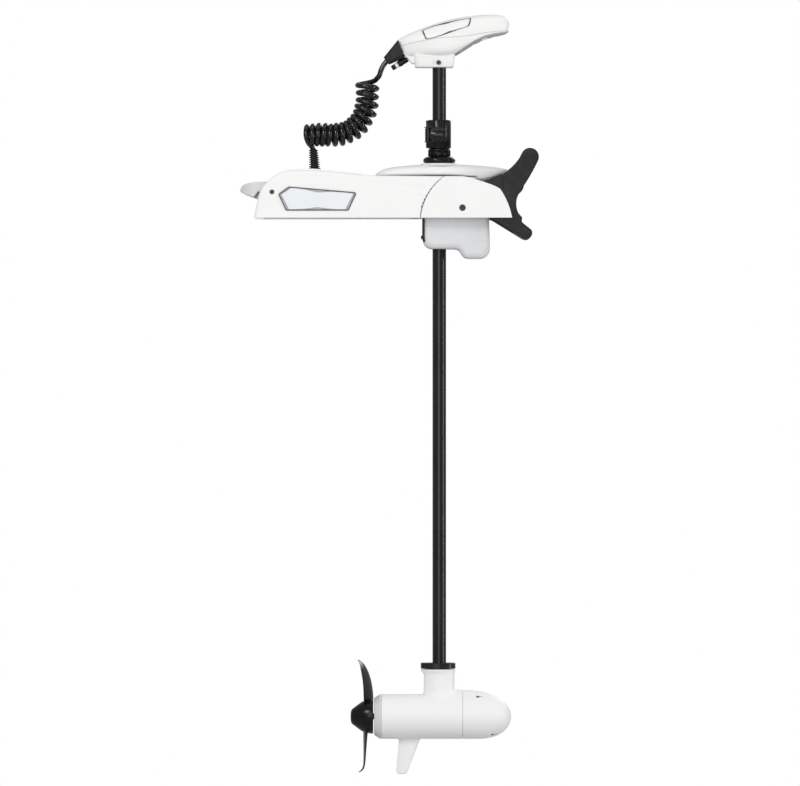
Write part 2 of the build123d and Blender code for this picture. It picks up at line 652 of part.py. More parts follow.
with BuildPart() as head_form:
    with BuildSketch(side_plane(-70)):
        add(head_profile.sketch)
    extrude(amount=140)
    with BuildSketch(Plane.XY.offset(300)):
        add(head_plan.sketch)
    extrude(amount=160, mode=Mode.INTERSECT)
    add(head_cavity.part, mode=Mode.SUBTRACT)

with BuildPart() as head_top_shell:
    add(head_form.part)
    with BuildSketch(side_plane(-80)):
        with BuildLine():
            Polyline(*CREASE, (380, 460), (120, 460), close=True)
        make_face()
    extrude(amount=160, mode=Mode.INTERSECT)
save(head_top_shell, "head_top_shell")

SOCKET_Z = 337.0
with BuildPart() as head_lower_shell:
    add(head_form.part)
    with BuildSketch(side_plane(-80)):
        with BuildLine():
            Polyline(*CREASE, (380, 300), (120, 300), close=True)
        make_face()
    extrude(amount=160, mode=Mode.INTERSECT)
    with BuildSketch(Plane.XY.offset(HEAD_Z)):
        with Locations((208, 0)):
            RectangleRounded(79, 70, 12)
    extrude(amount=SOCKET_Z + 2 - HEAD_Z)
    chamfer(head_lower_shell.faces().sort_by(Axis.Z)[0].edges(), length=2)
    with BuildSketch(Plane.XY.offset(HEAD_Z)):
        with Locations((SHAFT_X, 0)):
            Circle(SHAFT_R)
    extrude(amount=60, mode=Mode.SUBTRACT)
save(head_lower_shell, "head_lower_shell")

with BuildPart() as head_trim:
    with BuildSketch(side_plane(-9)):
        with BuildLine():
            Spline((262, 345.6), (288, 361.2), (331, 379), (358, 384), tangents=((1, 0.6), (1, 0.1)))
            Line((358, 384), (358, 381))
            Spline((358, 381), (331, 376), (288, 358), (264, 343.5), tangents=((-1, -0.1), (-1, -0.6)))
            Line((264, 343.5), (262, 345.6))
        make_face()
    extrude(amount=18)
save(head_trim, "head_trim")

HEAD_BADGE = ((183, 394), (283, 421), (279, 404), (190, 376.5))
BADGE_Y = 55.2
with BuildPart() as head_badge_frame:
    for side in (1, -1):
        badge_plane = Plane((0, -side * BADGE_Y, 0), x_dir=(1, 0, 0), z_dir=(0, -side, 0))
        with BuildSketch(badge_plane) as frame_sketch:
            with BuildLine():
                Polyline(*[(x, side * z) for x, z in HEAD_BADGE], close=True)
            make_face()
            offset(amount=-1.6, mode=Mode.SUBTRACT)
        extrude(amount=1.4)
save(head_badge_frame, "head_badge_frame")

with BuildPart() as circuit_board:
    with BuildSketch(Plane.XY.offset(352)):
        with Locations((212, 0)):
            RectangleRounded(84, 60, 3)
    extrude(amount=1.6)
    with BuildSketch(Plane.XY.offset(353.6)):
        with Locations((190, 10), (225, -12)):
            Rectangle(18, 14)
    extrude(amount=4)
save(circuit_board, "circuit_board")

with BuildPart() as head_screws:
    for side in (1, -1):
        screw_plane = Plane((217.6, -side * 28, 326), x_dir=(1, 0, 0), z_dir=(0, -side, 0))
        with BuildSketch(screw_plane):
            Circle(2.4)
        extrude(amount=7)
        with BuildSketch(screw_plane.offset(7)):
            Circle(4.8)
            RegularPolygon(2.4, 6, mode=Mode.SUBTRACT)
        extrude(amount=2.4)
save(head_screws, "head_screws")

BOOT_END_X, BOOT_END_Z = 107.8, 330.5
with BuildPart() as cord_boot:
    face_plane = Plane((139.5, 0, 356.25), x_dir=(0, 1, 0), z_dir=(-38.5, 0, -15))
    end_plane = Plane((BOOT_END_X, 0, BOOT_END_Z), x_dir=(0, 1, 0), z_dir=(-15, 0, -11.6))
    with BuildSketch(face_plane):
        RectangleRounded(34, 40, 8)
    with BuildSketch(end_plane):
        RectangleRounded(19, 19, 8)
    loft()
save(cord_boot, "cord_boot")

CONNECTOR_START = (152, 0, 335)
CONNECTOR_DIR = (-18, 0, -11)
connector_plane = Plane(CONNECTOR_START, x_dir=(0, 1, 0), z_dir=CONNECTOR_DIR)
with BuildPart() as connector_body:
    with BuildSketch(connector_plane):
        Circle(6.2)
    extrude(amount=23)
    with BuildSketch(connector_plane.offset(14)):
        Circle(6.9)
    extrude(amount=5)
save(connector_body, "connector_body")

with BuildPart() as connector_ring:
    with BuildSketch(connector_plane.offset(23)):
        Circle(5.6)
    extrude(amount=6)
save(connector_ring, "connector_ring")

with BuildPart() as connector_cap:
    with BuildSketch(connector_plane.offset(29)):
        Circle(5.4)
    extrude(amount=9)
    fillet(connector_cap.edges().filter_by(GeomType.CIRCLE).sort_by(Axis.X)[0], radius=1.5)
save(connector_cap, "connector_cap")

# ---- Lower unit --------------------------------------------------------------------------
POD_WALL = 4.0
NECK_TOP = -945.0
pod_axis = Axis((0, 0, POD_Z), (1, 0, 0))
with BuildPart() as pod_collar:
    with BuildSketch(Plane.XY.offset(NECK_TOP)):
        with Locations((216.5, 0)):
            Ellipse(36.5, 27)
        with Locations((SHAFT_X, 0)):
            Circle(SHAFT_R, mode=Mode.SUBTRACT)
    extrude(amount=12)
    chamfer(pod_collar.faces().sort_by(Axis.Z)[-1].edges(), length=1)
save(pod_collar, "pod_collar")

with BuildPart() as motor_housing:
    with BuildSketch(Plane.YZ.offset(POD_X0)):
        with Locations((0, POD_Z)):
            Circle(POD_R)
    extrude(amount=POD_X1 - POD_X0)
    with BuildSketch(Plane.XY.offset(POD_Z + 30)):
        with Locations((221, 0)):
            Ellipse(38, 24)
    with BuildSketch(Plane.XY.offset(POD_Z + 52)):
        with Locations((219.5, 0)):
            Ellipse(33, 22)
    with BuildSketch(Plane.XY.offset(NECK_TOP - 8)):
        with Locations((219.5, 0)):
            Ellipse(32.5, 22)
    loft()
    with BuildSketch(Plane.XY.offset(NECK_TOP - 8)):
        with Locations((217.5, 0)):
            Ellipse(34.5, 25)
    extrude(amount=8)
    with BuildSketch(side_plane(-4)):
        with BuildLine():
            Polyline((130, POD_Z - 40), (190, POD_Z - 40), (150, -1167), (127, -1167), close=True)
        make_face()
    extrude(amount=8)
    with BuildSketch(Plane.YZ.offset(POD_X0)):
        with Locations((0, POD_Z)):
            Circle(POD_R - POD_WALL)
    extrude(amount=POD_X1 - POD_X0, mode=Mode.SUBTRACT)
    with BuildSketch(Plane.XY.offset(SHAFT_BOTTOM)):
        with Locations((SHAFT_X, 0)):
            Circle(SHAFT_R)
    extrude(amount=60, mode=Mode.SUBTRACT)
    with BuildSketch(Plane.XY.offset(POD_Z + 20)):
        with Locations((SHAFT_X, 0)):
            Circle(SHAFT_R - SHAFT_WALL)
    extrude(amount=80, mode=Mode.SUBTRACT)
save(motor_housing, "motor_housing")

NOSE_TIP = 370.0
BEARING_R = 13.0
MOTOR_SHAFT_R = 6.35
with BuildPart() as pod_nose:
    with BuildSketch(Plane.XZ):
        with BuildLine():
            Line((POD_X1, POD_Z), (POD_X1, POD_Z + POD_R))
            Spline((POD_X1, POD_Z + POD_R), (310, POD_Z + 44), (350, POD_Z + 27), (NOSE_TIP, POD_Z),
                   tangents=((1, 0), (0, -1)))
            Line((NOSE_TIP, POD_Z), (POD_X1, POD_Z))
        make_face()
    revolve(axis=pod_axis)
    with BuildSketch(side_plane(-9)):
        with BuildLine():
            Line((POD_X1, POD_Z + 40), (POD_X1, POD_Z + 53.5))
            Spline((POD_X1, POD_Z + 53.5), (288, POD_Z + 54.5), (318, POD_Z + 46), (340, POD_Z + 30),
                   tangents=((1, 0.1), (1, -1)))
            Line((340, POD_Z + 30), (POD_X1, POD_Z + 40))
        make_face()
    extrude(amount=18)
    with BuildSketch(Plane.XZ):
        with BuildLine():
            Polyline((POD_X1, POD_Z), (POD_X1, POD_Z + 42), (300, POD_Z + 38), (335, POD_Z + 26),
                     (352, POD_Z), close=True)
        make_face()
    revolve(axis=pod_axis, mode=Mode.SUBTRACT)
    with BuildSketch(Plane.YZ.offset(POD_X1)):
        with Locations((0, POD_Z)):
            Circle(POD_R)
            Circle(BEARING_R, mode=Mode.SUBTRACT)
    extrude(amount=8)
    with BuildSketch(Plane.YZ.offset(POD_X1)):
        with Locations((0, POD_Z + 38.5), (0, POD_Z - 38.5)):
            Circle(2.6)
    extrude(amount=30, mode=Mode.SUBTRACT)
    with BuildSketch(Plane.YZ.offset(298)):
        with Locations((0, POD_Z + 40), (0, POD_Z - 40)):
            Rectangle(10, 10)
    extrude(amount=60, mode=Mode.SUBTRACT)
save(pod_nose, "pod_nose")

BELL_X = 82.0
with BuildPart() as rear_bell:
    with BuildSketch(Plane.XZ):
        with BuildLine():
            Polyline((BELL_X, POD_Z + BEARING_R), (BELL_X, POD_Z + 38), (88, POD_Z + 43.5),
                     (POD_X0, POD_Z + POD_R), (POD_X0, POD_Z + POD_R - POD_WALL), (90, POD_Z + 38),
                     (90, POD_Z + 18), (POD_X0, POD_Z + 18), (POD_X0, POD_Z + BEARING_R), close=True)
        make_face()
    revolve(axis=pod_axis)
save(rear_bell, "rear_bell")

with BuildPart() as motor_bearings:
    for bearing_x in (86, POD_X1):
        with BuildSketch(Plane.YZ.offset(bearing_x)):
            with Locations((0, POD_Z)):
                Circle(BEARING_R)
                Circle(MOTOR_SHAFT_R + RUNNING, mode=Mode.SUBTRACT)
        extrude(amount=7)
save(motor_bearings, "motor_bearings")

MAGNET_X0, MAGNET_X1 = 128.0, 232.0
with BuildPart() as magnets:
    with BuildSketch(Plane.YZ.offset(MAGNET_X0)):
        with Locations((0, POD_Z)):
            Circle(POD_R - POD_WALL)
            Circle(POD_R - POD_WALL - 7, mode=Mode.SUBTRACT)
            Rectangle(24, 100, mode=Mode.SUBTRACT)
    extrude(amount=MAGNET_X1 - MAGNET_X0)
save(magnets, "magnets")

with BuildPart() as brush_plate:
    with BuildSketch(Plane.YZ.offset(252)):
        with Locations((0, POD_Z)):
            Circle(POD_R - POD_WALL)
            Circle(16, mode=Mode.SUBTRACT)
        with Locations((0, POD_Z + 38.5), (0, POD_Z - 38.5)):
            Circle(2.6, mode=Mode.SUBTRACT)
    extrude(amount=3)
    with BuildSketch(Plane.YZ.offset(242)):
        with Locations((20, POD_Z), (-20, POD_Z)):
            Rectangle(9, 8)
    extrude(amount=10)
save(brush_plate, "brush_plate")

with BuildPart() as through_bolts:
    for side in (1, -1):
        with BuildSketch(Plane.YZ.offset(92)):
            with Locations((0, POD_Z + side * 38.5)):
                Circle(2.4)
        extrude(amount=206.5)
        with BuildSketch(Plane.YZ.offset(298.3)):
            with Locations((0, POD_Z + side * 38.5)):
                Circle(4)
        extrude(amount=4)
save(through_bolts, "through_bolts")

with BuildPart() as armature:
    with BuildSketch(Plane.YZ.offset(MAGNET_X0 + 4)):
        with Locations((0, POD_Z)):
            Circle(34)
            with PolarLocations(31, 12):
                Rectangle(9, 3, mode=Mode.SUBTRACT)
            Circle(MOTOR_SHAFT_R, mode=Mode.SUBTRACT)
    extrude(amount=96)
    with BuildSketch(Plane.YZ.offset(MAGNET_X0 + 100)):
        with Locations((0, POD_Z)):
            Circle(14)
            Circle(MOTOR_SHAFT_R, mode=Mode.SUBTRACT)
    extrude(amount=34)
save(armature, "armature")

with BuildPart() as armature_shaft:
    with BuildSketch(Plane.YZ.offset(40)):
        with Locations((0, POD_Z)):
            Circle(MOTOR_SHAFT_R)
    extrude(amount=POD_X1 + 6 - 40)
save(armature_shaft, "armature_shaft")

# Blade sections from root to tip: radius, chord, thickness, pitch angle, axial place, sweep.
BLADE_SECTIONS = (
    (22, 38, 10, 40, 65, 0),
    (45, 50, 7, 29, 69, 2),
    (70, 50, 5.5, 23, 69, 6),
    (92, 38, 4.5, 19, 65, 12),
    (108, 22, 3.2, 17, 59, 20),
    (PROP_R, 7, 2, 16, 52, 28),
)
HUB_X0, HUB_X1 = 42.0, 80.5
with BuildPart() as propeller:
    with BuildSketch(Plane.XZ):
        with BuildLine():
            Line((HUB_X0, POD_Z), (HUB_X0, POD_Z + 16))
            Spline((HUB_X0, POD_Z + 16), (62, POD_Z + 29), (HUB_X1, POD_Z + 37), tangents=((1, 1), (1, 0.3)))
            Line((HUB_X1, POD_Z + 37), (HUB_X1, POD_Z))
            Line((HUB_X1, POD_Z), (HUB_X0, POD_Z))
        make_face()
    revolve(axis=pod_axis)
    for side in (1, -1):
        for radius, chord, thickness, pitch, axial, sweep_back in BLADE_SECTIONS:
            with BuildSketch(Plane.XY.offset(POD_Z + side * radius)):
                with Locations((axial, side * sweep_back)):
                    Ellipse(chord / 2, thickness / 2, rotation=90 - side * pitch)
        loft()
    with BuildSketch(Plane.YZ.offset(HUB_X0)):
        with Locations((0, POD_Z)):
            Circle(MOTOR_SHAFT_R)
    extrude(amount=60, mode=Mode.SUBTRACT)
save(propeller, "propeller")

with BuildPart() as prop_nut:
    with BuildSketch(Plane.XZ):
        with BuildLine():
            Line((32, POD_Z), (HUB_X0, POD_Z))
            Line((HUB_X0, POD_Z), (HUB_X0, POD_Z + 15.5))
            Spline((HUB_X0, POD_Z + 15.5), (35, POD_Z + 9), (32, POD_Z), tangents=((-1, -0.8), (0, -1)))
        make_face()
    revolve(axis=pod_axis)
    with BuildSketch(Plane.YZ.offset(40)):
        with Locations((0, POD_Z)):
            Circle(MOTOR_SHAFT_R)
    extrude(amount=2, mode=Mode.SUBTRACT)
save(prop_nut, "prop_nut")

# ---- Coiled cord -------------------------------------------------------------------------
CORD_R = 5.5
COIL_R = 23.5
COIL_ROUTE = ((67, 0, 291), (70, 0, 252), (61, 0, 212), (36, 0, 183), (0, 0, 174), (-33, 0, 177),
              (-58, 0, 174))
HEAD_LEAD_ROUTE = ((106, 0, 329.1), (95, 0, 316), (88, 0, 304), (84, 0, 291))
MOUNT_LEAD = ((-43, 0, 144), (-43, 0, 156))


def corner_radii(route):
    """Largest arc for each corner: 0.45 of the shorter run over the tangent of half the turn."""
    points = [Vector(*point) for point in route]
    radii = []
    for before, corner, after in zip(points, points[1:], points[2:]):
        turn = (corner - before).get_angle(after - corner)
        shorter = min((corner - before).length, (after - corner).length)
        radii.append(0.45 * shorter / tan(radians(turn) / 2))
    return radii


def route_tube(route, tube_r):
    """Tube of straight runs and tangent arcs along a route; prints its radii and volume check."""
    radii = corner_radii(route)
    with BuildPart(mode=Mode.PRIVATE) as tube:
        with BuildLine():
            path = FilletPolyline(*route, radius=radii)
        with BuildSketch(Plane(origin=path @ 0, z_dir=path % 0)):
            Circle(tube_r)
        sweep(path=path)
    expected = pi * tube_r ** 2 * path.length
    print("radii", [round(r, 1) for r in radii], "volume ratio", round(tube.part.volume / expected, 4))
    return tube.part


with BuildPart() as cord_coil:
    add(route_tube(COIL_ROUTE, COIL_R))
save(cord_coil, "cord_coil")

with BuildPart() as cord_leads:
    add(route_tube(HEAD_LEAD_ROUTE, CORD_R))
    with BuildSketch(Plane.XY.offset(MOUNT_LEAD[0][2])):
        with Locations(MOUNT_LEAD[0][:2]):
            Circle(CORD_R)
    extrude(amount=MOUNT_LEAD[1][2] - MOUNT_LEAD[0][2])
save(cord_leads, "cord_leads")
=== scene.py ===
"""Looks for the bow-mount trolling motor: materials, smooth shells, coiled cord, camera and light."""

import json
from math import atan2, copysign, cos, exp, pi, radians, sin, sqrt

import bmesh
import bpy
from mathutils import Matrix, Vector


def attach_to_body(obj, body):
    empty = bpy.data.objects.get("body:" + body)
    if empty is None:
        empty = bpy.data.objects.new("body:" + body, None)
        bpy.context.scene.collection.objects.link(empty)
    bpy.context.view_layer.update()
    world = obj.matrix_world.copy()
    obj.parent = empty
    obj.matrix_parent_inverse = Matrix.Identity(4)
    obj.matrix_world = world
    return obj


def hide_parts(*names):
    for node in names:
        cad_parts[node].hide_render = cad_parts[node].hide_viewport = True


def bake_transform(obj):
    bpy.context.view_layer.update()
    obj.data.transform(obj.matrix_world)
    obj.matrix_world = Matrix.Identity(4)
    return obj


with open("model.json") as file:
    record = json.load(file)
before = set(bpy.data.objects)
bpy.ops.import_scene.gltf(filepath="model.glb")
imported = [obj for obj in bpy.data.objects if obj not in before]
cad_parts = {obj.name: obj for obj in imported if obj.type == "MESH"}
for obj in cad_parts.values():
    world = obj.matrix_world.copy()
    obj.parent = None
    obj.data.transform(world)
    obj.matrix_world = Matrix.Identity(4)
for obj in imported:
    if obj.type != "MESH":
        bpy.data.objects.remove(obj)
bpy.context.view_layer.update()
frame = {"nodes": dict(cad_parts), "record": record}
nodes = frame["nodes"]
MM = 0.001


def add_object(name, data):
    """New object that holds some data, linked to the scene."""
    obj = bpy.data.objects.new(name, data)
    bpy.context.scene.collection.objects.link(obj)
    return obj


# ---- Camera ------------------------------------------------------------------------------
FIELD = 1.68                # width of the view at the centre plane, in metres
DISTANCE = 16.0
SENSOR = 36.0
AIM_X, AIM_Z = 0.1365, -0.3665
camera_data = bpy.data.cameras.new("camera")
camera_data.sensor_width = SENSOR
camera_data.lens = SENSOR * DISTANCE / FIELD
camera_data.clip_end = 60
camera = add_object("camera", camera_data)
camera.location = (AIM_X, -DISTANCE, AIM_Z)
camera.rotation_euler = (radians(90), 0, 0)       # level, looking along +Y
bpy.context.scene.camera = camera


# ---- Mesh helpers ------------------------------------------------------------------------
def new_object(name, verts, faces, smooth=True):
    """Mesh object in metres from millimetre points."""
    mesh = bpy.data.meshes.new(name)
    mesh.from_pydata([tuple(c * MM for c in v) for v in verts], [], faces)
    mesh.validate()
    work = bmesh.new()
    work.from_mesh(mesh)
    bmesh.ops.recalc_face_normals(work, faces=work.faces)
    work.to_mesh(mesh)
    work.free()
    for polygon in mesh.polygons:
        polygon.use_smooth = smooth
    return add_object(name, mesh)


def ring_faces(ring_count, size, cap=True):
    """Quads between closed rings of equal size, with a face at each end."""
    faces = []
    for ring in range(ring_count - 1):
        for k in range(size):
            after = (k + 1) % size
            faces.append((ring * size + k, ring * size + after,
                          (ring + 1) * size + after, (ring + 1) * size + k))
    if cap:
        faces.append(tuple(reversed(range(size))))
        faces.append(tuple((ring_count - 1) * size + k for k in range(size)))
    return faces


def shifted(faces, base):
    """The same faces on points that start at another index."""
    return [tuple(base + index for index in face) for face in faces]


def loft_rings(name, rings):
    """Closed skin over rings of millimetre points."""
    verts = [point for ring in rings for point in ring]
    return new_object(name, verts, ring_faces(len(rings), len(rings[0])))


def apply_modifiers(obj):
    """Bake an object's modifiers into its mesh."""
    graph = bpy.context.evaluated_depsgraph_get()
    graph.update()
    mesh = bpy.data.meshes.new_from_object(obj.evaluated_get(graph))
    obj.modifiers.clear()
    obj.data = mesh


def subdivide(obj, levels=1):
    """Round a coarse mesh with a subdivision surface."""
    modifier = obj.modifiers.new("round", "SUBSURF")
    modifier.levels = modifier.render_levels = levels
    apply_modifiers(obj)


def bevel_edges(obj, width, segments, angle, harden=False):
    """Round the edges that are sharper than an angle in degrees; the width is in millimetres."""
    modifier = obj.modifiers.new("edges", "BEVEL")
    modifier.width = width * MM
    modifier.segments = segments
    modifier.limit_method = "ANGLE"
    modifier.angle_limit = radians(angle)
    modifier.harden_normals = harden
    apply_modifiers(obj)


def round_off(obj, voxel, passes):
    """Make one smooth skin of an object: its edges and inner corners round like a moulding's."""
    remesh = obj.modifiers.new("remesh", "REMESH")
    remesh.mode = "VOXEL"
    remesh.voxel_size = voxel * MM
    smooth = obj.modifiers.new("smooth", "SMOOTH")
    smooth.factor = 0.5
    smooth.iterations = passes
    apply_modifiers(obj)
    for polygon in obj.data.polygons:
        polygon.use_smooth = True


def merge(name, pieces):
    """Put several pieces in one object."""
    joined = bmesh.new()
    for piece in pieces:
        joined.from_mesh(piece.data)
        bpy.data.objects.remove(piece)
    mesh = bpy.data.meshes.new(name)
    joined.to_mesh(mesh)
    joined.free()
    return add_object(name, mesh)


attached = []               # pieces made here, each with its material slot


def attach(piece, body, slot, *stands_for):
    """Tie a piece to its moving body, its material slot and the CAD nodes that it stands for."""
    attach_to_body(piece, body)
    if stands_for:
        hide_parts(*stands_for)
    attached.append((piece, slot))


def spline_points(name, route):
    """Points along the smooth line of a route of control points, in metres."""
    curve = bpy.data.curves.new(name, "CURVE")
    curve.dimensions = "3D"
    curve.resolution_u = 24
    spline = curve.splines.new("NURBS")
    spline.points.add(len(route) - 1)
    for point, place in zip(spline.points, route):
        point.co = (*place, 1)
    spline.order_u = 3
    spline.use_endpoint_u = True
    holder = add_object(name, curve)
    mesh = bpy.data.meshes.new_from_object(holder)
    points = [v.co.copy() for v in mesh.vertices]
    bpy.data.objects.remove(holder)
    return points


def arc_lengths(points):
    """Running length at each point of a line."""
    lengths = [0.0]
    for before, after in zip(points, points[1:]):
        lengths.append(lengths[-1] + (after - before).length)
    return lengths


def place_on(points, lengths, s):
    """Point and direction at running length s."""
    k = 1
    while k < len(lengths) - 1 and lengths[k] < s:
        k += 1
    span = max(lengths[k] - lengths[k - 1], 1e-9)
    share = (s - lengths[k - 1]) / span
    step = points[k] - points[k - 1]
    return points[k - 1] + step * share, step.normalized()


def tube_along(name, path, radius, sides=14):
    """Round tube with flat ends along a line of points in metres."""
    rings = []
    side = Vector((0, 1, 0))
    for k, point in enumerate(path):
        ahead = path[min(k + 1, len(path) - 1)] - path[max(k - 1, 0)]
        ahead.normalize()
        side = (side - ahead * side.dot(ahead)).normalized()
        up = ahead.cross(side)
        rings.append([(point + (side * cos(a) + up * sin(a)) * radius) / MM
                      for a in (2 * pi * j / sides for j in range(sides))])
    return loft_rings(name, rings)


# ---- Coiled cord -------------------------------------------------------------------------
CORD_D = 0.011
COIL_MEAN_R = 0.0196
COIL_TURNS = 14.5
TURN_POINTS = 28
COIL_INSET = 0.0015         # from each end of the coil's route to its first and last turn
COIL_ROUTE = ((0.067, 0, 0.291), (0.070, 0, 0.252), (0.061, 0, 0.212), (0.036, 0, 0.183),
              (0.0, 0, 0.174), (-0.033, 0, 0.177), (-0.058, 0, 0.174))
HEAD_LEAD = ((0.1115, 0, 0.3335), (0.1035, 0, 0.325), (0.0965, -0.001, 0.312), (0.0935, 0, 0.300))
DECK_LEAD = ((-0.0605, -0.012, 0.187), (-0.0610, -0.016, 0.172), (-0.0560, -0.010, 0.158),
             (-0.0475, -0.001, 0.150), (-0.0455, 0, 0.143), (-0.0445, 0, 0.138))


def coil_line():
    """The cord's own centreline: head lead, turns about the coil's route, drop to the deck."""
    axis = spline_points("coil_route", COIL_ROUTE)
    lengths = arc_lengths(axis)
    total = lengths[-1] - 2 * COIL_INSET
    turns = []
    steps = int(COIL_TURNS * TURN_POINTS)
    for k in range(steps + 1):
        share = k / steps
        spread = 1.2 * share - 0.2 * share ** 2          # turns stand wider apart where the coil hangs
        centre, ahead = place_on(axis, lengths, COIL_INSET + total * spread)
        side = Vector((0, 1, 0))
        up = ahead.cross(side).normalized()
        angle = 2 * pi * COIL_TURNS * share - pi / 2
        radius = COIL_MEAN_R * (1 + 0.03 * sin(5.1 * share * 2 * pi))       # turns differ a little in size
        turns.append(centre + (side * cos(angle) - up * sin(angle)) * radius)
    into_coil = turns[0] + Vector((0.0015, 0.002, 0.003))
    lead = spline_points("head_lead", (*HEAD_LEAD, into_coil, turns[3], turns[6]))
    drop = spline_points("deck_lead", (turns[-7], turns[-4], turns[-1], *DECK_LEAD))
    return lead + turns[7:-7] + drop


cord_path = coil_line()
cord = tube_along("coiled_cord", cord_path, CORD_D / 2)
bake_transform(cord)
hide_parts("cord_coil", "cord_leads")


# ---- Control head ------------------------------------------------------------------------
# Stations from the cord end to the nose: underside point, top point, half width, crease share.
HEAD_STATIONS = (
    ((147, 337), (132.5, 375.5), 21, 0.60),
    ((152, 337), (139, 380), 29, 0.60),
    ((163, 337), (156, 388), 37, 0.58),
    ((186, 337), (180, 398), 46, 0.56),
    ((212, 337), (208, 408), 53, 0.55),
    ((236, 337), (236, 416.5), 55, 0.52),
    ((253, 342), (262, 421.8), 52.5, 0.47),
    ((270, 352), (286, 425.2), 47, 0.40),
    ((290, 364.5), (308, 427.2), 40.5, 0.33),
    ((313, 375.5), (328, 428), 34, 0.26),
    ((334, 381.5), (344, 427.4), 28, 0.22),
    ((349, 384.5), (355, 425), 22.5, 0.20),
    ((358, 387), (363, 419), 16, 0.2),
    ((363.5, 391), (367, 411), 9, 0.3),
)
HEAD_SIDES = 28
SIDE_POWER = 0.74           # how square the head's sections are at the side,
TOP_POWER = 0.80            # over the top
BELLY_POWER = 0.42          # and underneath
SEAM_HALF = 0.15            # half the gap between the two shells


def across_at(a, half_width, power):
    """Distance across at an angle round a squared half section."""
    return half_width * copysign(abs(cos(a)) ** power, cos(a))


def crease_point(station):
    """Point on the crease line between the two shells."""
    (low_x, low_z), (top_x, top_z), _, share = station
    return Vector((low_x + (top_x - low_x) * share, 0, low_z + (top_z - low_z) * share))


def head_ring(station, upper, inset):
    """Half section of the head above or below its crease line, closed along the crease."""
    low, top, half_width, _ = station
    goal_x, goal_z = top if upper else low
    crease = crease_point(station)
    reach = Vector((goal_x, 0, goal_z)) - crease
    power = TOP_POWER if upper else BELLY_POWER
    ring = []
    for k in range(HEAD_SIDES + 1):
        a = pi * k / HEAD_SIDES
        across = across_at(a, half_width - inset, SIDE_POWER)
        ring.append(crease + reach * abs(sin(a)) ** power + Vector((0, across, 0)))
    gap = reach.normalized() * SEAM_HALF
    return [p + gap for p in ring]


def head_shell(name, upper, inset, node):
    """One shell of the head, with its crease edge rounded."""
    shell = loft_rings(name, [head_ring(station, upper, inset) for station in HEAD_STATIONS])
    bevel_edges(shell, 0.9, 2, 50)
    subdivide(shell)
    attach(shell, "shaft_unit", "white_plastic", node)
    return shell


head_top = head_shell("head_top_moulding", True, 0.0, "head_top_shell")
head_shell("head_lower_moulding", False, 1.0, "head_lower_shell")


def rounded_rectangle(center, size, radius, height, corner_points=7):
    """Ring of points of a rounded rectangle on a level plane."""
    ring = []
    for sx, sy, start in ((1, 1, 0), (-1, 1, 90), (-1, -1, 180), (1, -1, 270)):
        for k in range(corner_points):
            a = radians(start + 90 * k / (corner_points - 1))
            ring.append((center[0] + sx * (size[0] / 2 - radius) + radius * cos(a),
                         center[1] + sy * (size[1] / 2 - radius) + radius * sin(a), height))
    return ring


base_rings = [rounded_rectangle((208.5, 0), size, radius, z) for size, radius, z in (
    ((76, 62), 9, 316.6), ((80, 66), 9, 317.4), ((81.4, 68), 9, 319), ((84, 70), 9, 332),
    ((86, 72), 9, 339), ((88, 78), 12, 347))]
head_base = loft_rings("head_base_block", base_rings)
attach(head_base, "shaft_unit", "white_plastic")


def prism(name, outline, y0, y1, bevel=0.0):
    """Flat piece from an outline of X and Z between two distances across, with rounded edges."""
    rings = [[(x, y, z) for x, z in outline] for y in (y0, y1)]
    obj = loft_rings(name, rings)
    for polygon in obj.data.polygons:
        polygon.use_smooth = False
    if bevel:
        bevel_edges(obj, bevel, 3, 28, harden=True)
    return obj


LIP_OUTLINE = ((143, 347), (163, 323.6), (169.5, 327.5), (169.5, 345))
head_lip = prism("head_cord_lip", LIP_OUTLINE, -23, 23, bevel=2.0)
attach(head_lip, "shaft_unit", "white_plastic")

# Grey band under the nose: the lowest part of the lower shell's section, standing a little proud.
TRIM_DEPTH = (2.5, 6.5, 8.5, 8.5, 7.0, 6.0, 4.5, 3.0)


def trim_ring(station, depth):
    """Section of the band, which covers a depth from the underside up."""
    (low_x, low_z), _, half_width, _ = station
    crease = crease_point(station)
    reach = Vector((low_x, 0, low_z)) - crease
    start = max(0.05, (1 - depth / reach.length)) ** (1 / BELLY_POWER)
    first = atan2(start, sqrt(max(1 - start ** 2, 0)))
    ring = []
    for k in range(HEAD_SIDES + 1):
        a = first + (pi - 2 * first) * k / HEAD_SIDES
        across = across_at(a, half_width - 0.35, SIDE_POWER)
        ring.append(crease + reach * (abs(sin(a)) ** BELLY_POWER + 0.03) + Vector((0, across, 0)))
    return ring


trim = loft_rings("head_trim_band", [trim_ring(*row) for row in zip(HEAD_STATIONS[6:], TRIM_DEPTH)])
attach(trim, "shaft_unit", "grey_trim", "head_trim")


def along(outline, count):
    """Evenly spread points round a closed outline of X and Z."""
    corners = [Vector(p) for p in outline]
    lengths = [(b - a).length for a, b in zip(corners, corners[1:] + corners[:1])]
    total = sum(lengths)
    points = []
    for k in range(count):
        s = total * k / count
        side = 0
        while s > lengths[side]:
            s -= lengths[side]
            side += 1
        start, end = corners[side], corners[(side + 1) % len(corners)]
        points.append(start + (end - start) * (s / lengths[side]))
    return points


def shrink(points, width):
    """Move outline points a fixed distance towards the middle."""
    middle = sum(points, Vector((0, 0))) / len(points)
    spans = [(p - middle) for p in points]
    return [middle + d * (1 - width / d.length) for d in spans]


RAY_START = 0.2             # metres to the side, well outside the object
HEAD_HALF_WIDTH = 54.0


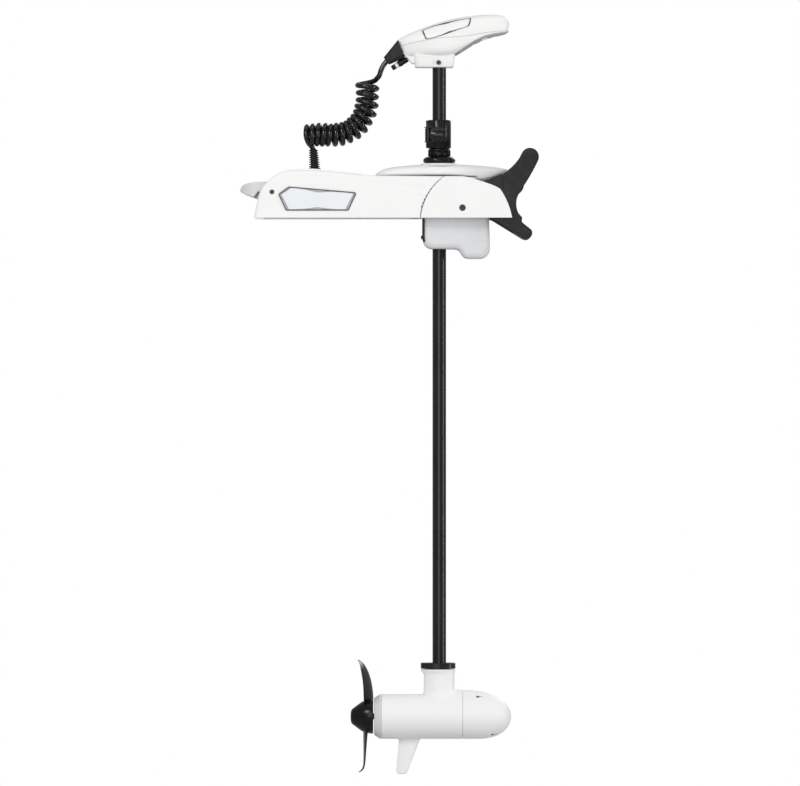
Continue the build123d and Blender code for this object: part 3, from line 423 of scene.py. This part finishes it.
def frame_on(name, target, outline, width, lift, count=96):
    """Raised border laid on the starboard and port faces of a shell."""
    outer = along(outline, count)
    inner = shrink(outer, width)
    verts, faces = [], []
    for side in (-1, 1):
        faces += shifted(ring_faces(4, count, cap=False), len(verts))
        for loop, height in ((outer, lift - 0.7), (outer, lift), (inner, lift), (inner, lift - 0.7)):
            for point in loop:
                start = Vector((point.x * MM, side * RAY_START, point.y * MM))
                hit, where, _, _ = target.ray_cast(start, Vector((0, -side, 0)))
                y = where.y / MM if hit else side * HEAD_HALF_WIDTH
                verts.append((point.x, y + side * height, point.y))
    return new_object(name, verts, faces, smooth=False)


HEAD_BADGE = ((182, 392.5), (187, 395.5), (205, 402.5), (228, 409), (255, 415), (285.5, 420.2), (284.5, 411),
              (281, 402), (255, 393), (228, 383), (205, 376.2), (190.5, 374), (188.5, 377))
head_frame = frame_on("head_badge_border", head_top, HEAD_BADGE, width=3.0, lift=0.9)
attach(head_frame, "shaft_unit", "badge_frame", "head_badge_frame")


# ---- Steering unit -----------------------------------------------------------------------
# Dome stations along X: crown, underside and half width.
DOME_STATIONS = ((84.5, 91, 88, 12), (88, 95, 87.4, 25), (95, 100, 87.2, 34), (106, 104.5, 87.1, 41),
                 (124, 108.2, 87.1, 45), (150, 111, 87.1, 47), (190, 113.2, 87.1, 47.8),
                 (230, 113.6, 87.1, 47.8), (270, 112.6, 86, 46), (290, 111.5, 80, 43.5),
                 (303, 110.6, 75.5, 41), (318, 109.4, 78.5, 36.5), (334, 107.8, 85.5, 30),
                 (348, 105.8, 92.5, 22), (357, 104.2, 98.2, 14), (361.5, 103.4, 101, 6))
DOME_SIDES = 32
DOME_POWER = 0.62


def dome_ring(x, top, low, half_width):
    """Squared half section of the dome."""
    return [(x, across_at(a, half_width, DOME_POWER), low + (top - low) * sin(a) ** DOME_POWER)
            for a in (pi * k / DOME_SIDES for k in range(DOME_SIDES + 1))]


dome = loft_rings("dome_moulding", [dome_ring(*station) for station in DOME_STATIONS])
subdivide(dome)
attach(dome, "tilt_housing", "white_plastic", "dome_cover")


def revolve(name, profile, center, sides=64, axis="Z"):
    """Ring-shaped body from a closed profile of radius and height, about an upright or lengthwise axis."""
    rings = []
    for radius, height in profile:
        ring = []
        for a in (2 * pi * k / sides for k in range(sides)):
            if axis == "Z":
                ring.append((center[0] + radius * cos(a), center[1] + radius * sin(a), height))
            else:
                ring.append((height, center[0] + radius * cos(a), center[1] + radius * sin(a)))
        rings.append(ring)
    last = (len(rings) - 1) * sides
    faces = ring_faces(len(rings), sides, cap=False)
    faces += [(last + k, last + (k + 1) % sides, (k + 1) % sides, k) for k in range(sides)]
    return new_object(name, [point for ring in rings for point in ring], faces)


SHAFT_X = 219
boss = revolve("dome_boss_ring", ((21, 110), (21, 114.6), (21.6, 115.3), (36.4, 115.3), (37.6, 114.9),
                                  (38.2, 113.9), (40.5, 112.6), (45, 112), (45, 110)), (SHAFT_X, 0))
attach(boss, "tilt_housing", "white_plastic")


# ---- Lower unit --------------------------------------------------------------------------
POD_Z = -1045.8
POD_R = 47.0
NOSE_X = 300                # where the pod starts to round off
NOSE_RUN = 70.2
RIDGE_H = 9.6
RIDGE_TOP_X = 262           # where the ridge is highest
RIDGE_SPREAD = 0.46         # angle from the top, in radians, at which about a third of the ridge is left


def pod_radius(x):
    """Radius of the pod at a distance along it."""
    if x < NOSE_X:
        return POD_R
    return POD_R * sqrt(max(1 - ((x - NOSE_X) / NOSE_RUN) ** 2.3, 0))


def ridge(x):
    """Height of the rounded ridge that runs from the neck over the nose."""
    if x < RIDGE_TOP_X:
        return RIDGE_H * max(0, min(1, (x - 196) / 40)) ** 2
    return RIDGE_H * max(0, 1 - ((x - RIDGE_TOP_X) / 82) ** 1.6)


def pod_rings(x_values, sides=72):
    """Round sections of the pod, with the ridge on top."""
    rings = []
    for x in x_values:
        ring = []
        for k in range(sides):
            a = 2 * pi * k / sides
            from_top = min(a, 2 * pi - a)
            r = pod_radius(x) + ridge(x) * exp(-(from_top / RIDGE_SPREAD) ** 2)
            ring.append((x, r * sin(a), POD_Z + r * cos(a)))
        rings.append(ring)
    return rings


def oval(center_x, half_x, half_y, z, sides=48):
    """Level oval section of the neck."""
    return [(center_x + half_x * cos(2 * pi * k / sides), half_y * sin(2 * pi * k / sides), z)
            for k in range(sides)]


HOUSING_X0, HOUSING_RUN = 97.3, 170.6
# Neck sections from the pod up: middle, half length, half width and height.
NECK_SECTIONS = ((220.5, 40, 30, -1012), (220, 37, 27, -1004), (219.5, 34, 24, -996), (219, 32.6, 22.5, -984),
                 (219, 32.4, 22.4, -960), (218.6, 33, 23, -954.5), (216.5, 36.2, 26.2, -950),
                 (216.6, 36.6, 26.8, -946.4))
# Skeg sections from the pod down: height, rear and front ends and half thickness.
SKEG_SECTIONS = ((-1076, 129, 192, 7), (-1088, 132, 184, 5.6), (-1094, 133.5, 179, 5),
                 (-1120, 131.4, 168.8, 4.4), (-1150, 128.8, 157.4, 3.7), (-1161, 127.8, 153, 3.3),
                 (-1165.5, 129.5, 150.4, 2.6), (-1167, 133, 147, 1.6))


def skeg_ring(z, x0, x1, half):
    """Rounded blade section of the skeg."""
    middle, reach = (x0 + x1) / 2, (x1 - x0) / 2
    return [(middle + reach * cos(a), half * sin(a) * (1 + 0.35 * cos(a)), z)
            for a in (2 * pi * k / 40 for k in range(40))]


housing_body = loft_rings("housing_body", pod_rings([HOUSING_X0 + HOUSING_RUN * k / 40 for k in range(41)]))
neck = loft_rings("housing_neck", [oval(*section) for section in NECK_SECTIONS])
skeg = loft_rings("housing_skeg", [skeg_ring(*section) for section in SKEG_SECTIONS])
pod_body = merge("pod_casting", [housing_body, neck, skeg])
round_off(pod_body, 1.3, 9)
attach(pod_body, "shaft_unit", "pod_white", "motor_housing")

# Close together at the joint, so that its edge stays sharp, and again towards the tip.
NOSE_STEPS = (268.1, 268.3, 268.7, 272, 280, 290, 300, 308, 316, 324, 332, 339, 345, 350.5, 355, 359, 362.5,
              365.4, 367.6, 369.2, 370)
pod_nose = loft_rings("nose_casting", pod_rings(NOSE_STEPS))
subdivide(pod_nose)
attach(pod_nose, "shaft_unit", "pod_white", "pod_nose")

bell = revolve("bell_casting", ((14, 83.4), (36, 82.2), (38.4, 82.8), (40.4, 84.6), (45.2, 92.2), (46.4, 94),
                                (46.9, 96.9), (44, 97.2), (14, 97.2)), (0, POD_Z), sides=96, axis="X")
attach(bell, "shaft_unit", "pod_white", "rear_bell")

# Through-bolt recesses in the nose as painted shade: black discs on the surface for the dark socket at the
# rear end of a short groove, and along the groove.
GROOVE_RUN = 13
GROOVE_RADII = (2.6, 1.5, 1.0)
recesses = []
for recess_x, recess_z, rise in ((299, -1003.5, 0.0), (330, -1083, 0.0009)):
    for side in (-1, 1):
        for step, dot_radius in enumerate(GROOVE_RADII):
            groove = Vector((step * GROOVE_RUN * MM / len(GROOVE_RADII), 0, step * rise))
            ray_from = Vector((recess_x * MM, side * RAY_START, recess_z * MM)) + groove
            hit, where, normal, _ = pod_nose.ray_cast(ray_from, Vector((0, -side, 0)))
            if hit:
                recesses.append((where, normal, dot_radius))


def dots(name, places, thickness, sides=20):
    """Shallow discs lying on a surface, each from its place, normal and radius."""
    verts, faces = [], []
    for where, normal, radius in places:
        turn = normal.to_track_quat("Z", "Y").to_matrix()
        base = len(verts)
        for height in (-1.2, thickness):
            for k in range(sides):
                a = 2 * pi * k / sides
                local = turn @ Vector((radius * cos(a), radius * sin(a), height))
                verts.append(tuple(where / MM + local))
        faces += shifted(ring_faces(2, sides), base)
    return new_object(name, verts, faces, smooth=False)


# Painted shade: flat black discs where the recesses and grooves would be in shade.
recess_painted_shade = dots("nose_recess_painted_shade", recesses, thickness=0.25)
attach(recess_painted_shade, "shaft_unit", "black_plastic")


# ---- Propeller ---------------------------------------------------------------------------
# Blade sections: radius, middle along the shaft, half chord, width seen from the side, thickness, sweep.
UPPER_BLADE = ((20, 70, 20, 28, 9, 0), (34, 70.4, 24, 26.5, 7, 0), (52, 69.6, 25.5, 25, 5.6, 1),
               (70, 68, 25, 22.5, 4.8, 3), (86, 64.6, 23, 20, 4.2, 6), (98, 61, 20, 17, 3.6, 9),
               (107, 57.6, 15.5, 13, 3, 13), (113.6, 54, 10, 9, 2.4, 17), (117.4, 49.6, 6, 6, 1.8, 20),
               (118.2, 48.2, 4, 4.4, 1.4, 21))
LOWER_BLADE = ((20, 65, 20, 18, 9, 0), (34, 63.4, 24, 13.5, 7, 0), (52, 62.8, 25.5, 11.4, 5.6, 1),
               (70, 62.4, 25, 9, 4.8, 3), (86, 62, 23, 7, 4.4, 6), (98, 61.5, 20, 5.4, 3.8, 9),
               (106, 60.2, 15.5, 5.4, 3.4, 13), (111.5, 57, 10, 6.2, 3, 17), (115.4, 51.4, 6, 5, 2.4, 20),
               (116.2, 49.8, 4, 4, 2, 21))


def blade(name, sections, side):
    """Twisted blade, up or down, from its sections."""
    rings = []
    for radius, middle, half, seen, thick, sweep in sections:
        lean = min(max((seen - thick) / (2 * half), 0.02), 0.9)
        run = sqrt(1 - lean ** 2)
        ring = []
        for a in (2 * pi * k / 36 for k in range(36)):
            u, v = half * cos(a), thick / 2 * sin(a) * (1 + 0.3 * cos(a))
            across = side * (sweep + u * run - v * lean)
            ring.append((middle + u * lean + v * run, across, POD_Z + side * radius))
        rings.append(ring)
    obj = loft_rings(name, rings)
    subdivide(obj)
    return obj


HUB_PROFILE = ((0.6, 32.6), (9, 33), (14, 34.4), (17, 37.5), (20.4, 42), (26.5, 50), (31.2, 57),
               (33.4, 62), (35.2, 70), (36.2, 78), (36.2, 80.2), (12, 80.2), (0.6, 80.2))
hub = revolve("prop_hub", HUB_PROFILE, (0, POD_Z), sides=72, axis="X")
propeller = merge("propeller_moulding", [hub, blade("upper_blade", UPPER_BLADE, 1),
                                         blade("lower_blade", LOWER_BLADE, -1)])
attach(propeller, "prop_drive", "black_plastic", "propeller", "prop_nut")


# ---- Depth collar ------------------------------------------------------------------------
def upright_block(name, center, size, radius, levels, turn=0.0):
    """Upright block with rounded corners, turned about its middle: a height and a growth at each level."""
    rings = []
    for z, grow in levels:
        ring = rounded_rectangle((0, 0), (size[0] + grow, size[1] + grow), radius, z)
        rings.append([(center[0] + x * cos(turn) - y * sin(turn),
                       center[1] + x * sin(turn) + y * cos(turn), h) for x, y, h in ring])
    return loft_rings(name, rings)


def around_shaft(radius, angle):
    """Point at a distance from the shaft's axis."""
    return SHAFT_X + radius * cos(angle), radius * sin(angle)


FOOT_PROFILE = ((15, 116.4), (30.5, 116.4), (33, 117.6), (33.9, 120.4), (33.4, 124.2), (31, 127.2),
                (26, 129.2), (21.6, 130.4), (20.6, 132), (20.4, 140), (21.4, 141.6), (22.6, 142.6),
                (22.6, 145), (21, 146.4), (15, 146.6))
COLLAR_PROFILE = ((15, 146.8), (23.4, 147), (24.6, 148.4), (24.7, 204.6), (23.6, 206.4), (15, 206.6))
RIB_LEVELS = ((150, -1), (151.5, 0), (202, 0), (203.5, -1))
TOOTH_LEVELS = ((131, 0), (143, 0))
HINGE_LEVELS = ((147.5, -1), (148.5, 0), (204, 0), (205, -1))
TEETH = 10
collar_foot = revolve("collar_foot", FOOT_PROFILE, (SHAFT_X, 0))
collar_body = revolve("collar_body", COLLAR_PROFILE, (SHAFT_X, 0))
hinge_block = upright_block("collar_hinge", (199.5, -17), (17, 17), 3, HINGE_LEVELS)
ribs = []
for rib_angle in (-96, -84, -72, -60, -48):
    a = radians(rib_angle)
    ribs.append(upright_block("collar_rib", around_shaft(24, a), (3.6, 3.0), 0.8, RIB_LEVELS, a))
for tooth in range(TEETH):
    a = 2 * pi * tooth / TEETH
    ribs.append(upright_block("collar_tooth", around_shaft(21.4, a), (4.4, 3.4), 0.8, TOOTH_LEVELS, a))
collar = merge("collar_moulding", [collar_foot, collar_body, hinge_block, *ribs])
attach(collar, "depth_collar", "black_plastic", "depth_collar")

LEVER = (195.5, -19)        # the lever's pin
ARM_OUTLINE = ((-3, -5), (6, -8.5), (30, -13), (37, -12.4), (38, -10), (24, -6.8), (4, -2))
lever_parts = [loft_rings("lever_arm", [[(LEVER[0] + x, LEVER[1] + y, z) for x, y in ARM_OUTLINE]
                                        for z in (161, 189)])]
for barrel_dx, barrel_dy, barrel_r in ((0, 0, 6.4), (8.6, -5.6, 3.4)):
    barrel_profile = ((0.8, 161.4), (barrel_r - 0.8, 161.4), (barrel_r, 162.4),
                      (barrel_r, 187.6), (barrel_r - 0.8, 188.6), (0.8, 188.6))
    barrel_center = (LEVER[0] + barrel_dx, LEVER[1] + barrel_dy)
    lever_parts.append(revolve("lever_barrel", barrel_profile, barrel_center, sides=32))
for flange_z in (159.2, 189.4):
    lever_parts.append(upright_block("lever_flange", (LEVER[0] + 4.5, LEVER[1] - 2.5), (25, 13), 3,
                                     ((flange_z, 0), (flange_z + 1.7, 0))))
lever = merge("clamp_lever", lever_parts)
attach(lever, "collar_lever", "black_shaft", "collar_lever")


# ---- Cord strain relief, and a case strip of painted shade -------------------------------
RELIEF_X = -43
RELIEF_RIBS = 8
RIB_PITCH = 4.8
relief_profile = [(6.0, 90), (9.4, 90), (9.6, 103.4), (12.6, 103.8), (12.8, 105.4), (10, 106.2)]
for rib in range(RELIEF_RIBS):
    foot = 107.2 + rib * RIB_PITCH
    thick = 11.4 - rib * 0.26
    thin = 7.8 - rib * 0.1
    relief_profile += [(thin, foot), (thick, foot + 0.5), (thick, foot + 2.7), (thin, foot + 3.2)]
relief_profile += [(6.2, 146.2), (5.6, 146.2), (5.6, 90)]
relief = revolve("relief_sleeve", relief_profile, (RELIEF_X, 0), sides=40)
for vertex in relief.data.vertices:                 # the sleeve leans towards the cord
    rise = max(vertex.co.z / MM - 106, 0) / 40
    vertex.co.x -= 2.6 * MM * rise ** 1.5
attach(relief, "mount", "black_rubber", "strain_relief")

# Black strip along the steering case's rear edge: painted shade, a dark piece standing for the shade on the
# case's rounded edge.
STRIP_OUTLINE = ((183.1, -1), (183.1, -42), (185.4, -51), (189.6, -50), (188.2, -42), (188.2, -1))
case_painted_shade = prism("case_rear_painted_shade", STRIP_OUTLINE, -48.5, 48.5, bevel=2.2)
attach(case_painted_shade, "tilt_housing", "black_plastic")
case_plug = revolve("case_plug", ((0.5, -44.6), (2.8, -44.4), (4, -43), (4, -38), (2.8, -36.6), (0.5, -36.4)),
                    (184.4, -34), sides=28)
attach(case_plug, "tilt_housing", "black_plastic")


# ---- Mount details -----------------------------------------------------------------------
SIDE_BADGE = ((-118, 49), (-96, 65), (46.6, 52.7), (28.8, 14.5), (-102, 14.5))


def flat_ring(name, outline, outer_inset, inner_inset, y_low, y_high, count=120):
    """Flat border on both sides of the mount, from an outline of X and Z."""
    points = along(outline, count)
    verts, faces = [], []
    for side in (-1, 1):
        faces += shifted(ring_faces(4, count, cap=False), len(verts))
        for inset, y in ((outer_inset, y_low), (outer_inset + 0.2, y_high), (inner_inset, y_high - 0.5),
                         (inner_inset, y_low)):
            verts += [(p.x, side * y, p.y) for p in shrink(points, inset)]
    return new_object(name, verts, faces, smooth=False)


badge_bevel = flat_ring("side_badge_bevel", SIDE_BADGE, 3.6, 7.0, 85.6, 86.6)
attach(badge_bevel, "mount", "grey_trim")


def seam_point(t):
    """Point on the curved seam between the side cover and the end cover."""
    return Vector((178.8 - 1.4 * t + 51.4 * t ** 2, 86.7 * t))


DASHES = 8
DASH_PITCH, DASH_RUN = 0.085, 0.045     # as shares of the seam's height
dashes = []
for side in (-1, 1):
    for k in range(DASHES):
        t = 0.24 + DASH_PITCH * k
        start, end = seam_point(t), seam_point(t + DASH_RUN)
        ahead = (end - start).normalized()
        across = Vector((-ahead.y, ahead.x))        # half a dash's width, 1 mm
        outline = [tuple(start + across), tuple(end + across), tuple(end - across), tuple(start - across)]
        dashes.append(prism("seam_dash", outline, side * 84.2, side * 85.3))
seam_dashes = merge("seam_dashes", dashes)
attach(seam_dashes, "mount", "black_plastic")

JOINT_OUTLINE = ((351.0, 92.5), (352.4, 92.8), (353.8, 60), (352.4, 60))
ramp_joints = merge("ramp_joint_lines", [prism("ramp_joint", JOINT_OUTLINE, side * 79.0, side * 80.0)
                                         for side in (-1, 1)])
attach(ramp_joints, "mount", "black_shaft")

# CAD nodes shown with their edges rounded: piece, node, voxel and smoothing passes, body, material slot.
SOFT_NODES = (
    ("steering_case_moulding", "steering_case", 2.2, 16, "tilt_housing", "light_grey_plastic"),
    ("pedal_moulding", "release_pedal", 1.1, 5, "release_pedal", "light_grey_plastic"),
    ("ramp_moulding_starboard", "motor_ramp_starboard", 1.5, 7, "mount", "black_rubber"),
    ("ramp_moulding_port", "motor_ramp_port", 1.5, 7, "mount", "black_rubber"),
    ("boot_moulding", "cord_boot", 0.8, 4, "shaft_unit", "black_rubber"),
)
for piece_name, node_name, voxel_mm, smooth_passes, body_name, slot_name in SOFT_NODES:
    soft_piece = add_object(piece_name, nodes[node_name].data.copy())
    round_off(soft_piece, voxel_mm, smooth_passes)
    attach(soft_piece, body_name, slot_name, node_name)


# ---- Materials ---------------------------------------------------------------------------
def moulded(name, colour, rough, mottle=0.05, grain=1400, bump=0.05, metal=0.0, coat=0.0, edge=0.0,
            gloss=0.5):
    """Moulded or coated surface: cloudy colour, uneven gloss, fine grain, and paler worn edges."""
    mat = bpy.data.materials.new(name)
    mat.use_nodes = True
    tree = mat.node_tree
    shader = tree.nodes["Principled BSDF"]
    place = tree.nodes.new("ShaderNodeTexCoord").outputs["Object"]

    def noise(scale, detail):
        node = tree.nodes.new("ShaderNodeTexNoise")
        node.inputs["Scale"].default_value = scale
        node.inputs["Detail"].default_value = detail
        tree.links.new(place, node.inputs["Vector"])
        return node.outputs["Fac"]

    def spread(source, low, high, from_low=0.3, from_high=0.7):
        node = tree.nodes.new("ShaderNodeMapRange")
        node.inputs["From Min"].default_value = from_low
        node.inputs["From Max"].default_value = from_high
        node.inputs["To Min"].default_value = low
        node.inputs["To Max"].default_value = high
        tree.links.new(source, node.inputs["Value"])
        return node.outputs["Result"]

    def mix(share, first, second):
        node = tree.nodes.new("ShaderNodeMix")
        node.data_type = "RGBA"
        tree.links.new(share, node.inputs["Factor"])
        for socket, value in (("A", first), ("B", second)):
            target = [s for s in node.inputs if s.name == socket and s.type == "RGBA"][0]
            if isinstance(value, tuple):
                target.default_value = (*value, 1)
            else:
                tree.links.new(value, target)
        return [s for s in node.outputs if s.type == "RGBA"][0]

    darker = tuple(c * (1 - mottle) for c in colour)
    lighter = tuple(min(c * (1 + mottle) + 0.004, 1) for c in colour)
    tint = mix(spread(noise(9, 5), 0, 1), darker, lighter)
    if edge:
        worn = tuple(min(c + edge, 1) for c in colour)
        point = tree.nodes.new("ShaderNodeNewGeometry").outputs["Pointiness"]
        tint = mix(spread(point, 0, 1, 0.53, 0.62), tint, worn)
    tree.links.new(tint, shader.inputs["Base Color"])
    tree.links.new(spread(noise(60, 4), rough * 0.82, rough * 1.22), shader.inputs["Roughness"])
    relief = tree.nodes.new("ShaderNodeBump")
    relief.inputs["Strength"].default_value = bump
    relief.inputs["Distance"].default_value = 0.0004
    tree.links.new(noise(grain, 3), relief.inputs["Height"])
    tree.links.new(relief.outputs["Normal"], shader.inputs["Normal"])
    shader.inputs["Metallic"].default_value = metal
    shader.inputs["Coat Weight"].default_value = coat
    shader.inputs["Specular IOR Level"].default_value = gloss
    return mat


MATERIALS = {
    "white_plastic": moulded("white_plastic", (0.90, 0.90, 0.893), 0.36, mottle=0.008, bump=0.02, gloss=0.3),
    "light_grey_plastic": moulded("light_grey_plastic", (0.68, 0.69, 0.71), 0.26, mottle=0.008, bump=0.015),
    "black_plastic": moulded("black_plastic", (0.004, 0.004, 0.005), 0.2, mottle=0.25, gloss=0.22,
                             edge=0.015),
    "black_shaft": moulded("black_shaft", (0.008, 0.008, 0.009), 0.16, mottle=0.2, bump=0.01, gloss=0.3),
    "black_rubber": moulded("black_rubber", (0.010, 0.010, 0.011), 0.5, mottle=0.2, bump=0.18, grain=900,
                            gloss=0.3),
    "cord_jacket": moulded("cord_jacket", (0.003, 0.003, 0.0035), 0.11, mottle=0.2, bump=0.02, gloss=0.45),
    "badge_frame": moulded("badge_frame", (0.055, 0.06, 0.065), 0.3, mottle=0.1),
    "badge_plate": moulded("badge_plate", (0.80, 0.835, 0.86), 0.34, mottle=0.015, bump=0.02),
    "aluminium": moulded("aluminium", (0.82, 0.83, 0.84), 0.5, mottle=0.04, metal=0.6),
    "steel": moulded("steel", (0.045, 0.045, 0.05), 0.36, mottle=0.1, metal=1.0),
    "bronze": moulded("bronze", (0.5, 0.34, 0.16), 0.4, mottle=0.12, metal=1.0),
    "grey_trim": moulded("grey_trim", (0.40, 0.405, 0.415), 0.5, mottle=0.05, gloss=0.15),
    "motor_metal": moulded("motor_metal", (0.3, 0.3, 0.31), 0.38, mottle=0.1, metal=1.0),
    "board_green": moulded("board_green", (0.03, 0.16, 0.07), 0.4, mottle=0.2),
    "magnet": moulded("magnet", (0.1, 0.1, 0.1), 0.6, mottle=0.2),
    "copper": moulded("copper", (0.55, 0.25, 0.12), 0.4, mottle=0.2, metal=1.0),
    "pod_white": moulded("pod_white", (0.90, 0.90, 0.90), 0.4, mottle=0.008, bump=0.02, gloss=0.22),
    # Painted shade: the housing's white, darkened for the rear bell
    "bell_painted_shade": moulded("bell_painted_shade", (0.70, 0.705, 0.71), 0.34, mottle=0.02, gloss=0.3),
    "clear_plastic": moulded("clear_plastic", (0.82, 0.84, 0.85), 0.12, mottle=0.05, coat=0.3),
}
slot_of = {row["node"]: row["material_slot"] for row in frame["record"]["subparts"]}


def dress(obj, slot_name):
    """Give every face of an object the material of a record slot."""
    obj.data.materials.clear()
    obj.data.materials.append(MATERIALS[slot_name])
    for polygon in obj.data.polygons:
        polygon.material_index = 0


for node_name, node in nodes.items():
    for slot in node.material_slots:
        slot.material = MATERIALS[slot_of[node_name]]
dress(cord, "cord_jacket")
for piece, piece_slot in attached:
    dress(piece, piece_slot)
dress(bell, "bell_painted_shade")            # the housing's finish darkened: painted shade on the bell


# ---- Floor and light ---------------------------------------------------------------------
FLOOR_Z = -1340             # well below the propeller, because the object hangs from its mount
FLOOR_R = 2300
FLOOR_SIDES = 96
floor_ring = [(FLOOR_R * cos(a), FLOOR_R * sin(a), FLOOR_Z)
              for a in (2 * pi * k / FLOOR_SIDES for k in range(FLOOR_SIDES))]
floor = new_object("studio_floor", floor_ring, [tuple(range(FLOOR_SIDES))])
floor.data.materials.append(moulded("pale_floor", (0.62, 0.62, 0.62), 0.8, mottle=0.01, bump=0.0, gloss=0.1))


def area_light(name, place, target, size, power):
    """Rectangular soft light aimed at a point."""
    light = bpy.data.lights.new(name, "AREA")
    light.shape = "RECTANGLE"
    light.size, light.size_y = size
    light.energy = power
    lamp = add_object(name, light)
    lamp.location = place
    aim = Vector(target) - Vector(place)
    lamp.rotation_euler = aim.to_track_quat("-Z", "Y").to_euler()


area_light("key_light", (-2.6, -4.6, 2.6), (0.1, 0, -0.3), (1.5, 1.5), 112)
area_light("front_light", (-0.6, -5.6, 0.4), (0.2, 0, -0.4), (3.2, 3.2), 74)
area_light("strip_light", (4.0, -1.24, -0.35), (0.22, 0, -0.35), (0.34, 3.4), 56)
area_light("rear_light", (2.6, 4.6, 2.2), (0.2, 0, -0.3), (2.4, 2.4), 60)
area_light("top_light", (0.2, -0.4, 3.4), (0.2, 0, 0), (3.0, 2.0), 18)

world = bpy.data.worlds.new("studio")
world.use_nodes = True
world_tree = world.node_tree
soft_sky = world_tree.nodes["Background"]
soft_sky.inputs["Color"].default_value = (1, 1, 1, 1)
soft_sky.inputs["Strength"].default_value = 0.40
backdrop = world_tree.nodes.new("ShaderNodeBackground")       # pure white behind the object
backdrop.inputs["Color"].default_value = (1, 1, 1, 1)
backdrop.inputs["Strength"].default_value = 1.0
choose = world_tree.nodes.new("ShaderNodeMixShader")
world_tree.links.new(world_tree.nodes.new("ShaderNodeLightPath").outputs["Is Camera Ray"], choose.inputs[0])
world_tree.links.new(soft_sky.outputs[0], choose.inputs[1])
world_tree.links.new(backdrop.outputs[0], choose.inputs[2])
world_tree.links.new(choose.outputs[0], world_tree.nodes["World Output"].inputs["Surface"])
bpy.context.scene.world = world
bpy.context.scene.view_settings.view_transform = "Standard"
